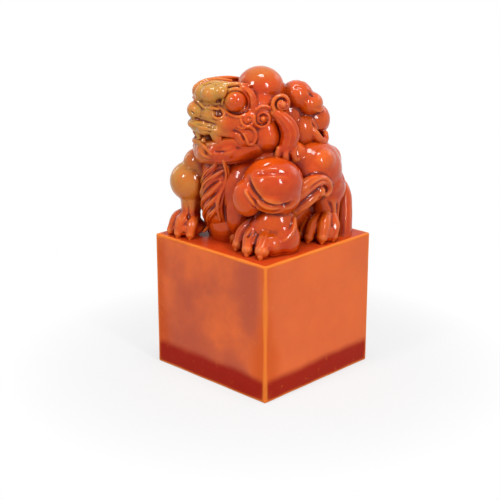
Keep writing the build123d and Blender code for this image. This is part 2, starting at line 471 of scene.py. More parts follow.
def veins_group():
    """Cloudy mottling and fine veins, as soapstone has them."""
    group = new_group(
        "stone_clouds",
        [("Size", "NodeSocketFloat", 60.0), ("Seed", "NodeSocketFloat", 0.0)],
        [("Cloud", "NodeSocketFloat"), ("Vein", "NodeSocketFloat"), ("Fleck", "NodeSocketFloat")],
    )
    enter, leave = group.nodes[0], group.nodes[1]
    place = node(group, "ShaderNodeTexCoord").outputs["Object"]
    noises = (
        {"Detail": 4.0, "Roughness": 0.55},
        {"Detail": 5.0, "Distortion": 1.2},
        {"Detail": 3.0, "Roughness": 0.7},
    )
    cloud, vein, fleck = (
        node(group, "ShaderNodeTexNoise", noise_dimensions="4D", values=values) for values in noises)
    for made, factor in ((cloud, 1.0), (vein, 1.7), (fleck, 14.0)):
        group.links.new(place, made.inputs["Vector"])
        group.links.new(maths(group, "MULTIPLY", enter.outputs["Size"], factor), made.inputs["Scale"])
        group.links.new(enter.outputs["Seed"], made.inputs["W"])
    group.links.new(cloud.outputs["Fac"], leave.inputs["Cloud"])
    line = maths(group, "ABSOLUTE", maths(group, "SUBTRACT", vein.outputs["Fac"], 0.5))
    thin = maths(group, "SUBTRACT", 1, maths(group, "MULTIPLY", line, 9), clamp=True)
    group.links.new(thin, leave.inputs["Vein"])
    group.links.new(fleck.outputs["Fac"], leave.inputs["Fleck"])
    return group


def zone_group():
    """A soft round zone of the stone: 1 at its middle, 0 past its reach, its edge broken up by clouds."""
    group = new_group(
        "stone_zone",
        [("Middle", "NodeSocketVector", (0, 0, 0)), ("Reach", "NodeSocketFloat", 0.01),
         ("Cloud", "NodeSocketFloat", 0.5)],
        [("Share", "NodeSocketFloat")],
    )
    enter, leave = group.nodes[0], group.nodes[1]
    place = node(group, "ShaderNodeTexCoord").outputs["Object"]
    gap = node(group, "ShaderNodeVectorMath", operation="DISTANCE")
    group.links.new(place, gap.inputs[0])
    group.links.new(enter.outputs["Middle"], gap.inputs[1])
    ratio = maths(group, "DIVIDE", gap.outputs["Value"], enter.outputs["Reach"])
    rough = maths(group, "MULTIPLY", maths(group, "SUBTRACT", enter.outputs["Cloud"], 0.5), 1.5)
    share = maths(group, "SUBTRACT", 1, maths(group, "ADD", ratio, rough), clamp=True)
    group.links.new(ramped(group, share, 0.0, 0.45), leave.inputs["Share"])
    return group


def polish_group():
    """The hand polish: the surface's fine unevenness, and the roughness that goes with it."""
    group = new_group(
        "hand_polish",
        [("Roughness", "NodeSocketFloat", 0.15), ("Hollow", "NodeSocketFloat", 0.5)],
        [("Roughness", "NodeSocketFloat"), ("Height", "NodeSocketFloat")],
    )
    enter, leave = group.nodes[0], group.nodes[1]
    place = node(group, "ShaderNodeTexCoord").outputs["Object"]
    broad = node(group, "ShaderNodeTexNoise", values={"Scale": 260.0, "Detail": 2.0})
    fine = node(group, "ShaderNodeTexNoise", values={"Scale": 1500.0, "Detail": 3.0})
    for made in (broad, fine):
        group.links.new(place, made.inputs["Vector"])
    spread = maths(group, "MULTIPLY", maths(group, "SUBTRACT", fine.outputs["Fac"], 0.45), 0.16)
    dull = maths(group, "MULTIPLY", maths(group, "SUBTRACT", enter.outputs["Hollow"], 0.55, clamp=True), 0.5)
    rough = maths(group, "ADD", maths(group, "ADD", enter.outputs["Roughness"], spread), dull, clamp=True)
    group.links.new(rough, leave.inputs["Roughness"])
    height = maths(group, "ADD", broad.outputs["Fac"], maths(group, "MULTIPLY", fine.outputs["Fac"], 0.12))
    group.links.new(height, leave.inputs["Height"])
    return group


def stone_shader(name, translucence, roughness, gloss, coat):
    """A new material with the waxed, translucent stone's shader. Its colour is still to be joined."""
    material = bpy.data.materials.new(name)
    material.use_nodes = True
    tree = material.node_tree
    shader = tree.nodes["Principled BSDF"]
    shader.subsurface_method = "RANDOM_WALK"
    shader.inputs["Subsurface Weight"].default_value = translucence
    shader.inputs["Subsurface Radius"].default_value = (1.0, 0.28, 0.07)
    shader.inputs["Subsurface Scale"].default_value = 0.0013
    shader.inputs["IOR"].default_value = 1.56
    shader.inputs["Coat Weight"].default_value = coat
    shader.inputs["Coat Roughness"].default_value = 0.06
    shader.inputs["Specular IOR Level"].default_value = gloss
    hollow = node(tree, "ShaderNodeAttribute", attribute_name="hollow")
    polish = tree.nodes.new("ShaderNodeGroup")
    polish.node_tree = bpy.data.node_groups.get("hand_polish") or polish_group()
    polish.inputs["Roughness"].default_value = roughness
    tree.links.new(hollow.outputs["Fac"], polish.inputs["Hollow"])
    tree.links.new(polish.outputs["Roughness"], shader.inputs["Roughness"])
    bump = node(tree, "ShaderNodeBump", values={"Strength": 0.35, "Distance": 0.0002})
    tree.links.new(polish.outputs["Height"], bump.inputs["Height"])
    tree.links.new(bump.outputs["Normal"], shader.inputs["Normal"])
    return material, tree, shader, hollow.outputs["Fac"]


def clouds_node(tree, size, seed):
    """The clouds and veins at one size."""
    made = tree.nodes.new("ShaderNodeGroup")
    made.node_tree = bpy.data.node_groups.get("stone_clouds") or veins_group()
    made.inputs["Size"].default_value = size
    made.inputs["Seed"].default_value = seed
    return made


def zone(tree, middle, reach, cloud):
    """A zone round a place on the stone."""
    made = tree.nodes.new("ShaderNodeGroup")
    made.node_tree = bpy.data.node_groups.get("stone_zone") or zone_group()
    made.inputs["Middle"].default_value = middle
    made.inputs["Reach"].default_value = reach * MM
    tree.links.new(cloud, made.inputs["Cloud"])
    return made.outputs["Share"]


def carving_material():
    """The lion's stone: red-orange, with amber zones at the muzzle, the brow and the far foreleg."""
    colours = bpy.context.scene.seal_colours
    material, tree, shader, hollow = stone_shader("carved_lion", colours.translucence, 0.14, 0.14, 0.24)
    clouds = clouds_node(tree, 75.0, 2.0)
    cloud = clouds.outputs["Cloud"]
    base = blended(tree, ramped(tree, cloud, 0.36, 0.68), tuple(colours.red), tuple(colours.orange))
    for zones, colour in ((AMBER_ZONES, colours.amber), (OLIVE_ZONES, colours.olive)):
        for space, place, reach, strength in zones:
            share = zone(tree, tuple(space() @ Vector(place)), reach, cloud)
            base = tinted(tree, base, colour, share, strength)
    base = tinted(tree, base, colours.orange, clouds.outputs["Vein"], 0.22)
    # Painted shade: the colour darkens where the lion's forms stand close together
    painted_shade = node(tree, "ShaderNodeAttribute", attribute_name="painted_shade").outputs["Fac"]
    base = tinted(tree, base, colours.shade, painted_shade, 0.85)
    # Painted shade: deep red laid in the grooves and hollows
    base = tinted(tree, base, colours.deep, ramped(tree, hollow, 0.52, 0.72), 0.88)
    # Painted highlight: lighter orange laid on the raised ridges
    proud = maths(tree, "SUBTRACT", 1, ramped(tree, hollow, 0.15, 0.46))
    base = tinted(tree, base, colours.ridge, proud, 0.5)
    tree.links.new(base, shader.inputs["Base Color"])
    return material


def block_material():
    """The block's stone: terracotta faces, orange towards its front corner and its left end, a painted dark
    reflection as a deep red band at its foot, its right face painted lighter, and a painted highlight along
    its edges.
    """
    colours = bpy.context.scene.seal_colours
    material, tree, shader, hollow = stone_shader("polished_block", colours.translucence, 0.3, 0.05, 0.0)
    clouds = clouds_node(tree, 48.0, 7.0)
    cloud = ramped(tree, clouds.outputs["Cloud"], 0.35, 0.65)
    drift = maths(tree, "SUBTRACT", clouds.outputs["Cloud"], 0.5)
    base = blended(tree, cloud, tuple(colours.block_red), tuple(colours.block_orange))
    place = node(tree, "ShaderNodeSeparateXYZ")
    tree.links.new(node(tree, "ShaderNodeTexCoord").outputs["Object"], place.inputs[0])
    # Painted light: the right face is made more orange, as more light falls on it
    right = ramped(tree, place.outputs["X"], SIDE * 0.4, SIDE * 0.495)
    base = tinted(tree, base, colours.block_orange, right, 0.75)
    across = maths(tree, "SUBTRACT", place.outputs["X"], place.outputs["Y"])
    wander = maths(tree, "MULTIPLY", drift, 18 * MM)
    front = ramped(tree, maths(tree, "ADD", across, wander), SIDE * 0.84, SIDE)
    base = tinted(tree, base, colours.orange, front, 0.6)
    outer = ramped(tree, maths(tree, "ADD", place.outputs["X"], wander), -SIDE * 0.36, -SIDE * 0.5)
    base = tinted(tree, base, colours.orange, outer, 0.7)
    # Painted reflection: the deep red band at the foot stands for the dark shadow that the low faces reflect
    height = maths(tree, "ADD", place.outputs["Z"], maths(tree, "MULTIPLY", drift, 3.5 * MM))
    foot = maths(tree, "SUBTRACT", 1, ramped(tree, height, 4.8 * MM, 7.4 * MM))
    base = tinted(tree, base, colours.block_dark_reflection, foot, 0.95)
    crown = ramped(tree, place.outputs["Z"], TOP - 0.9 * MM, TOP - 0.2 * MM)
    base = tinted(tree, base, colours.red, crown, 0.85)
    base = tinted(tree, base, colours.ridge, ramped(tree, clouds.outputs["Fleck"], 0.6, 0.72), 0.3)
    # Painted highlight: the rounded edges are made lighter orange
    edge = maths(tree, "SUBTRACT", 1, ramped(tree, hollow, 0.36, 0.485))
    base = tinted(tree, base, colours.ridge, edge, 0.8)
    tree.links.new(base, shader.inputs["Base Color"])
    return material


# Zones of colour: the space of the place, the place, the reach in millimetres and the strength
AMBER_ZONES = (
    (head_space, (0, -14, 36), 11.5, 1.0),
    (head_space, (2, -10, 41), 6.5, 0.8),
    (head_space, (0, 2, 43), 6.0, 0.55),
    (stone_space, (-14, -15, 15), 10.5, 1.0),
    (head_space, (0, -14, 24), 5.0, 0.6),
)
OLIVE_ZONES = (
    (head_space, (4, -12, 40.5), 6.5, 0.6),
    (head_space, (1.5, -15, 31.5), 6.0, 0.6),
    (stone_space, (-15, -15, 17), 6.5, 0.6),
)


def material_named(name):
    """The material of this name, made at its first use."""
    makers = {
        "carved_lion": carving_material,
        "polished_block": block_material,
        "floor_paper": floor_material,
    }
    return bpy.data.materials.get(name) or makers[name]()


# The pieces

def make_block():
    """The square block, its edges eased by hand and so a little uneven."""
    settings = bpy.context.scene.seal_sizes
    height = TOP - BLOCK_LOW[2]
    bpy.ops.mesh.primitive_cube_add(size=1, location=(0, 0, BLOCK_LOW[2] + height / 2))
    block = bpy.context.object
    block.scale = (SIDE, SIDE, height)
    bpy.ops.object.transform_apply(location=True, rotation=True, scale=True)
    bpy.ops.object.mode_set(mode="EDIT")
    bpy.ops.mesh.select_all(action="SELECT")
    bpy.ops.mesh.subdivide(number_cuts=31)
    bpy.ops.object.mode_set(mode="OBJECT")
    finish_modifier(block, "BEVEL", width=settings.edge_ease * MM, segments=5, limit_method="ANGLE")
    finish_modifier(block, "SUBSURF", levels=1, render_levels=1, subdivision_type="SIMPLE")
    places, normals = points_of(block), normals_of(block)
    from_middle = np.abs(places - [0, 0, BLOCK_LOW[2] + height / 2])
    near_edge = np.sort(from_middle / [SIDE / 2, SIDE / 2, height / 2], axis=1)[:, 1]
    wear = np.clip((near_edge - 0.955) / 0.045, 0, 1) ** 2
    wide, deep, high = places.T
    wave = np.sin(wide * 410 + high * 260) + np.sin(deep * 530 - high * 310 + 1)
    move_points(block, places - normals * (wear * (0.05 + 0.04 * wave) * MM)[:, None])
    hand_in(block, "stone_block", material_named("polished_block"), ["seal_block"])


def make_body():
    """The trunk, breast, haunches and flames, with the knobs of the backbone and the ribs' hollows."""
    space = stone_space()
    rough = lumps(space, [
        ((0.6, -2, 16.8), (9.0, 9.6, 9.2)),
        ((0.4, 4.5, 17.2), (9.6, 10, 9.6)),
        ((0.3, 9.8, 16.4), (8.6, 8.6, 8.8)),
        ((2.2, -0.6, 25), (7.4, 7.6, 6.6)),
        ((0.4, -7.2, 13.6), (7.9, 7.2, 9.4)),
        ((0.2, 14.2, 14.5), (6.4, 4.8, 7.4)),
        ((0.4, 5.4, 5.6), (6.8, 11.0, 8.0)),
        ((5.4, 6.4, 6.4), (6.4, 7.4, 8.0)),
        ((-5.4, 6.4, 6.4), (6.4, 7.4, 8.0)),
        ((-7.2, -8.4, 6.8), (4.4, 5.0, 9.0)),
        ((-3.4, -9.6, 4.2), (5.4, 4.8, 6.4)),
    ])
    for side in (1, -1):
        rough += lumps(space, [
            ((9.3 * side, 8.2, 16.9), (7.6, 8.9, 8.6)),
            ((10.2 * side, 11.6, 12.4), (6.4, 6.2, 6.6)),
            ((5.5 * side, -3.5, 20), (6, 6, 6)),
        ])
        rough.append(roll(space, mirrored([(12.2, 10.4, 10, 4.4), (13.2, 9.8, 5.5, 3.6),
                                           (13.6, 9.0, 1.2, 3.9)], side)))
    body = merged(rough, grain=0.42, softening=7)
    knobs = lumps(space, [
        ((3.4, 15.2, 23.4), (4.0, 3.5, 3.4)),
        ((2.0, 17.0, 18.0), (3.7, 2.7, 3.3)),
        ((0.6, 17.2, 12.8), (3.3, 2.5, 3.0)),
        ((0.4, 16.6, 8.8), (2.6, 2.2, 2.4)),
    ])
    for side in (1, -1):
        knobs += lumps(space, [
            ((9.8 * side, 13.8, 19.2), (4.2, 3.6, 4.0)),
            ((10.4 * side, 15.0, 13.6), (3.8, 2.8, 4.0)),
            ((13.2 * side, 7.4, 19.8), (3.6, 4.6, 4.2)),
            ((13.6 * side, 10.6, 13.6), (3.2, 4.0, 3.8)),
            ((8.6 * side, 2.4, 21.4), (3.6, 3.6, 4.4)),
        ])
    body = merged([body, *knobs], grain=0.36, softening=3)
    extras = []
    for side, high in ((1, 0), (-1, 1.5)):
        extras.append(roll(space, mirrored([
            (12.4, -3.0, 12.4 + high, 2.3), (14.4, -1.8, 14.4 + high, 2.2), (15.3, 0.8, 16.0 + high, 2.0),
            (15.7, 3.6, 16.5 + high, 1.7), (16.0, 6.2, 15.8 + high, 1.35), (16.3, 7.2, 14.0 + high, 1.05),
            (16.5, 6.2, 12.6 + high, 0.8), (16.6, 5.0, 12.8 + high, 0.5)], side)))
        extras.append(roll(space, mirrored([(12.8, -2.0, 9.6, 2.0), (14.8, -0.4, 11.2, 1.7),
                                            (15.9, 1.4, 12.4, 1.3), (16.3, 2.8, 13.4, 0.9)], side)))
        extras += lumps(space, [
            ((16.0 * side, 4.0, 13.6), (1.5, 1.5, 1.5)),
            ((14.4 * side, 3.0, 13.4), (2.2, 4.2, 2.8)),
        ])
    body = merged([body, *extras], grain=0.27, softening=1)
    strokes = []
    for side in (1, -1):
        flame_line = mirrored_strokes([(0.5, 0.3, [(17, -1.2, 15.2), (17, 1.2, 16.4), (17, 3.8, 16.8),
                                                   (17, 6.0, 16.0)])], side)
        strokes += laid_strokes(body, space, (-side, 0, 0), flame_line)
        strokes += mirrored_strokes([
            (0.9, 0.5, [(15.6, 7.2, 11.0), (16.4, 8.6, 8.4), (16.8, 8.4, 5.0), (16.9, 8.0, 2.0)]),
            (0.8, 0.45, [(15.4, 10.0, 10.6), (16.3, 10.8, 8.2), (16.8, 10.8, 4.6)]),
            (0.8, 0.4, [(14.6, 12.6, 10.0), (15.6, 13.0, 7.4), (16.0, 12.6, 4.2)]),
            (1.5, 0.6, [(13.2, 17.0, 21.4), (14.6, 15.2, 17.2), (15.0, 14.6, 12.6)]),
        ], side)
        for step in range(4):
            high = 21.5 - step * 3.2
            rib = [(9.4 - step * 0.6, -0.5 + step * 0.4, high), (9.8, 1.2, high - 2.6),
                   (8.4, 2.4, high - 5.0)]
            strokes += mirrored_strokes([(0.8, 0.35, rib)], side)
    cut(body, space, strokes)
    hand_in(body, "lion_body", material_named("carved_lion"), [
        "trunk", "belly", "chest", "left_haunch", "right_haunch", "left_hind_leg", "right_hind_leg",
        "spine_rolls", "left_flame", "right_flame"])


def toes(space, rows):
    """Toes, each row the toe's root, knuckle and tip with their half thicknesses, and a claw at each tip."""
    made = []
    for root, knuckle, tip in rows:
        made.append(roll(space, [root, knuckle, tip]))
        ahead = (Vector(tip[:3]) - Vector(knuckle[:3])).normalized()
        forward, upward = CLAW_ROOT_SHARES
        base = Vector(tip[:3]) + ahead * tip[3] * forward + Vector((0, 0, tip[3] * upward))
        claw = [base + ahead * tip[3] * far + Vector((0, 0, tip[3] * high)) for far, high, _ in CLAW_SHARES]
        claw[-1].z = max(claw[-1].z, LOWEST_POINT)
        made.append(roll(space, [(*place, tip[3] * row[2]) for place, row in zip(claw, CLAW_SHARES)]))
    return made


def make_left_foreleg():
    """The near foreleg: the shoulder's big round, the elbow's smaller one, the shank and the broad paw."""
    space = stone_space()
    rough = lumps(space, [
        ((11.2, -8.2, 17.2), (7.6, 7.9, 6.6)),
        ((10.6, -9.8, 17.6), (5.8, 5.6, 6.0)),
        ((12.8, -7.4, 14.6), (5.6, 5.6, 5.2)),
        ((10.4, -9.6, 2.6), (6.2, 6.2, 3.4), (0, 0, -32)),
        ((11.8, -8.2, 6.0), (5.9, 4.6, 6.0), (0, 0, 45)),
        ((14.2, -7.6, 3.2), (4.3, 4.6, 4.8)),
        ((12.8, -11.2, 2.6), (4.6, 4.4, 3.6)),
        ((10.8, -10.8, 6.0), (4.2, 3.0, 3.0), (0, 0, 20)),
    ])
    leg = merged(rough, grain=0.36, softening=6)
    elbow = lumps(space, [
        ((8.0, -13.9, 14.0), (4.0, 3.7, 4.8), (0, 0, 20)),
        ((13.6, -11.6, 14.6), (4.0, 4.0, 3.2)),
    ])
    leg = merged([leg, *elbow], grain=0.3, softening=3)
    tips = toes(space, [
        ((6.6, -8.0, 7.2, 1.7), (2.4, -9.8, 4.0, 1.75), (0.8, -11.4, 1.5, 1.35)),
        ((8.0, -9.8, 7.4, 1.8), (5.2, -12.4, 4.4, 1.85), (5.8, -15.2, 1.6, 1.5)),
        ((9.8, -11.0, 7.2, 1.8), (9.0, -13.8, 4.3, 1.9), (10.4, -16.4, 1.6, 1.55)),
        ((12.4, -11.2, 5.6, 2.0), (13.2, -13.0, 3.6, 2.3), (14.4, -15.4, 1.8, 1.9)),
    ])
    cuff = [roll(space, [(12.8, -13.4, 3.4, 0.6), (15.0, -12.6, 3.4, 0.8), (17.0, -10.0, 4.2, 0.9),
                         (17.4, -7.4, 6.4, 0.8), (16.8, -6.2, 8.8, 0.5)])]
    leg = merged([leg, *tips, *cuff], grain=0.23, softening=2)
    front = (-0.7, 0.7, 0)
    cut(leg, space, laid_strokes(leg, space, front, [
        (1.1, 1.1, [(10.6, -16.4, 20.2), (11.8, -16.6, 17.6), (13.8, -15.8, 15.0), (16.0, -13.4, 13.2),
                    (17.6, -10.4, 13.0), (18.0, -7.4, 14.4)]),
        (0.85, -0.7, [(9.4, -17, 18.8), (10.8, -17, 15.8), (13.2, -16.0, 13.0), (15.8, -13.4, 11.4),
                      (17.2, -10.2, 11.4)]),
        (1.2, 0.4, [(11.6, -16.0, 20.6), (13.8, -14.4, 21.2), (16.2, -11.6, 21.4), (17.4, -8.8, 20.8)]),
        (0.9, 0.4, [(8.8, -15.6, 22.4), (11.6, -14.2, 23.0), (14.4, -11.4, 23.2)]),
        (0.6, 0.6, [(5.4, -9.4, 7.0), (4.0, -11.0, 5.0), (3.2, -12.8, 2.6), (3.4, -14.0, 1.0)]),
        (0.6, 0.6, [(8.0, -12.2, 6.0), (7.4, -13.2, 4.8), (7.6, -14.8, 2.8), (8.2, -16.4, 1.0)]),
        (0.6, 0.6, [(11.0, -13.2, 5.6), (11.2, -14.2, 4.6), (12.0, -15.6, 2.6), (12.8, -16.6, 1.0)]),
        (0.45, 0.3, [(14.8, -16.6, 0.6), (17.0, -13.0, 0.7), (18.2, -8.4, 0.7)]),
    ]))
    hand_in(leg, "left_foreleg_and_paw", material_named("carved_lion"),
            ["left_shoulder", "left_foreleg", "left_forepaw"])


def make_right_foreleg():
    """The far foreleg: two pale rounds, a thin shank and a paw that reaches for the corner."""
    space = stone_space()
    rough = lumps(space, [
        ((-13.0, -13.8, 14.4), (5.3, 5.3, 5.3)),
        ((-11.4, -12.0, 19.4), (4.0, 4.2, 3.8)),
        ((-12.9, -14.4, 2.4), (4.3, 4.4, 2.6)),
        ((-13.4, -14.8, 4.6), (2.9, 2.6, 2.3)),
    ])
    rough.append(roll(space, [(-12.4, -13.6, 10, 3.2), (-12.6, -14.0, 6.5, 2.6), (-12.8, -14.2, 2.0, 3.0)]))
    rough.append(roll(space, [(-7.0, -8.0, 18, 4.6), (-11, -11.4, 17, 4.4)]))
    leg = merged(rough, grain=0.34, softening=4)
    tips = toes(space, [
        ((-13.8, -12.8, 5.6, 1.5), (-16.6, -14.0, 4.4, 1.7), (-18.2, -15.0, 1.4, 1.15)),
        ((-13.4, -13.8, 6.0, 1.5), (-15.2, -16.2, 4.6, 1.75), (-16.2, -17.8, 1.4, 1.2)),
        ((-12.4, -14.2, 6.0, 1.5), (-12.8, -17.0, 4.4, 1.75), (-13.0, -18.2, 1.4, 1.2)),
        ((-11.4, -13.6, 5.4, 1.5), (-10.2, -15.8, 3.8, 1.6), (-9.6, -17.2, 1.3, 1.15)),
    ])
    leg = merged([leg, *tips], grain=0.23, softening=2)
    cut(leg, space, [
        (0.9, 0.45, [(-16.0, -15.0, 18.0), (-13.6, -16.8, 17.6), (-10.6, -16.4, 18.0)]),
        (0.7, 0.4, [(-11.4, -16.4, 9.4), (-11.0, -16.4, 6.4), (-10.8, -16.2, 3.6)]),
        (0.5, 0.4, [(-15.4, -15.6, 4.2), (-16.6, -16.6, 2.4), (-17.6, -17.4, 1.0)]),
        (0.5, 0.4, [(-13.6, -16.4, 4.2), (-14.2, -17.8, 2.2), (-14.6, -18.8, 1.0)]),
        (0.5, 0.4, [(-11.4, -16.4, 4.0), (-11.2, -17.6, 2.2), (-11.0, -18.6, 1.0)]),
    ])
    hand_in(leg, "right_foreleg_and_paw", material_named("carved_lion"),
            ["right_shoulder", "right_foreleg", "right_forepaw"])


def make_hind_paws():
    """The hind paws, each with a ball of a big toe and three more."""
    space = stone_space()
    for side, name in ((1, "left"), (-1, "right")):
        paw = merged(lumps(space, mirrored_lumps([
            ((13.8, 7.8, 2.2), (4.2, 5.0, 2.7)),
            ((16.6, 6.2, 2.3), (2.3, 2.6, 2.4)),
        ], side)), grain=0.3, softening=3)
        rows = [
            ((12.0, 7.8, 5.2, 1.5), (11.4, 4.8, 4.0, 1.6), (11.2, 3.0, 1.5, 1.25)),
            ((13.6, 7.4, 6.0, 1.6), (14.0, 4.2, 4.4, 1.75), (14.2, 2.2, 1.5, 1.3)),
            ((15.2, 7.6, 6.2, 1.6), (16.6, 5.2, 4.4, 1.9), (17.3, 3.8, 1.8, 1.5)),
            ((15.6, 9.4, 5.6, 1.6), (17.0, 8.6, 4.0, 1.7), (17.9, 7.4, 1.6, 1.35)),
        ]
        tips = toes(space, [tuple(mirrored(row, side)) for row in rows])
        paw = merged([paw, *tips], grain=0.22, softening=2)
        cut(paw, space, [
            (0.5, 0.45, mirrored([(12.8, 5.6, 4.6), (12.8, 3.8, 3.0), (12.9, 2.4, 1.2)], side)),
            (0.5, 0.45, mirrored([(15.2, 5.8, 4.6), (15.6, 4.0, 3.0), (15.9, 2.6, 1.2)], side)),
        ])
        hand_in(paw, f"{name}_hind_foot", material_named("carved_lion"), [f"{name}_hind_paw"])


def make_tail():
    """The tail: from the rump, round the left haunch and down to the block, with a curled tuft."""
    space = stone_space()
    rows = [(1.4, 16.2, 7.6, 2.0), (5.6, 17.2, 11.4, 2.1), (9.8, 17.6, 12.2, 2.1), (12.8, 16.9, 10.4, 2.1),
            (14.6, 15.6, 6.4, 2.15), (15.6, 14.4, 2.6, 2.2), (16.0, 13.8, -0.2, 2.3)]
    tuft = [(2.4, 16.6, 9.0, 1.3), (0.0, 17.4, 12.4, 1.5), (-3.4, 17.5, 14.6, 1.4), (-5.6, 16.6, 12.6, 1.1),
            (-4.6, 16.8, 10.4, 0.7)]
    tail = merged([roll(space, rows), roll(space, tuft)], grain=0.22, softening=3)
    cut(tail, space, [
        (0.6, 0.3, [(6.0, 19.4, 11.8), (10.0, 19.5, 12.2), (13.4, 18.8, 10.0), (15.6, 17.4, 6.0)]),
    ])
    hand_in(tail, "curled_tail", material_named("carved_lion"), ["tail"])


def make_chest_mane():
    """The beard of hair on the breast, its locks swept down from a middle ridge."""
    space = stone_space()
    rough = lumps(space, [
        ((-4.0, -12.0, 12.4), (5.6, 3.9, 9.4)),
        ((-4.4, -11.6, 18.8), (4.9, 3.8, 5.4)),
        ((-6.2, -11.6, 9.0), (3.6, 3.2, 6.6)),
        ((1.2, -10.8, 11.0), (4.2, 3.4, 9.4)),
    ])
    hair = merged(rough, grain=0.3, softening=4)
    front = (0.3, 1, 0)
    locks = []
    for step in range(5):
        high = 22.0 - step * 3.1
        wave = 0.5 * math.sin(step * 2.1)
        locks.append(laid(hair, space, front, [
            (-1.2, -16, high + 0.6, 0.5), (-3.2, -16.4, high - 1.6 + wave, 0.85),
            (-5.4, -15.8, high - 3.6 + wave, 0.9), (-7.4, -14.6, high - 6.2, 0.6),
            (-8.2, -13.6, high - 8.0, 0.35)], -0.1))
    locks.append(laid(hair, space, front, [
        (0.6, -15, 22.6, 0.5), (-0.4, -15.6, 17.6, 0.75), (-1.2, -15.6, 11.6, 0.7),
        (-1.6, -15, 6.4, 0.45)], 0.0))
    hair = merged([hair, *[roll(space, rows) for rows in locks]], grain=0.2, softening=2)
    strokes = []
    for step in range(6):
        high = 23.4 - step * 3.1
        wave = 0.5 * math.sin(step * 2.1 - 2.1)
        strokes += [
            (0.45, 0.5, [(-1.6, -16.2, high - 0.2), (-3.4, -16.2, high - 2.2 + wave),
                         (-5.6, -15.6, high - 4.4 + wave), (-7.6, -14.4, high - 7.2)]),
            (0.3, 0.25, [(-2.4, -16.2, high - 2.6), (-4.6, -16.2, high - 4.6 + wave),
                         (-6.4, -15.6, high - 6.8)]),
        ]
    strokes.append((0.7, 0.6, [(1.4, -14.6, 22), (0.7, -15.2, 16), (0.0, -15, 10), (-0.6, -14.4, 5)]))
    lowest_end = 1.5
    cut(hair, space, [row for row in laid_strokes(hair, space, front, strokes) if row[2][-1][2] > lowest_end])
    hand_in(hair, "chest_hair", material_named("carved_lion"), ["chest_mane"])


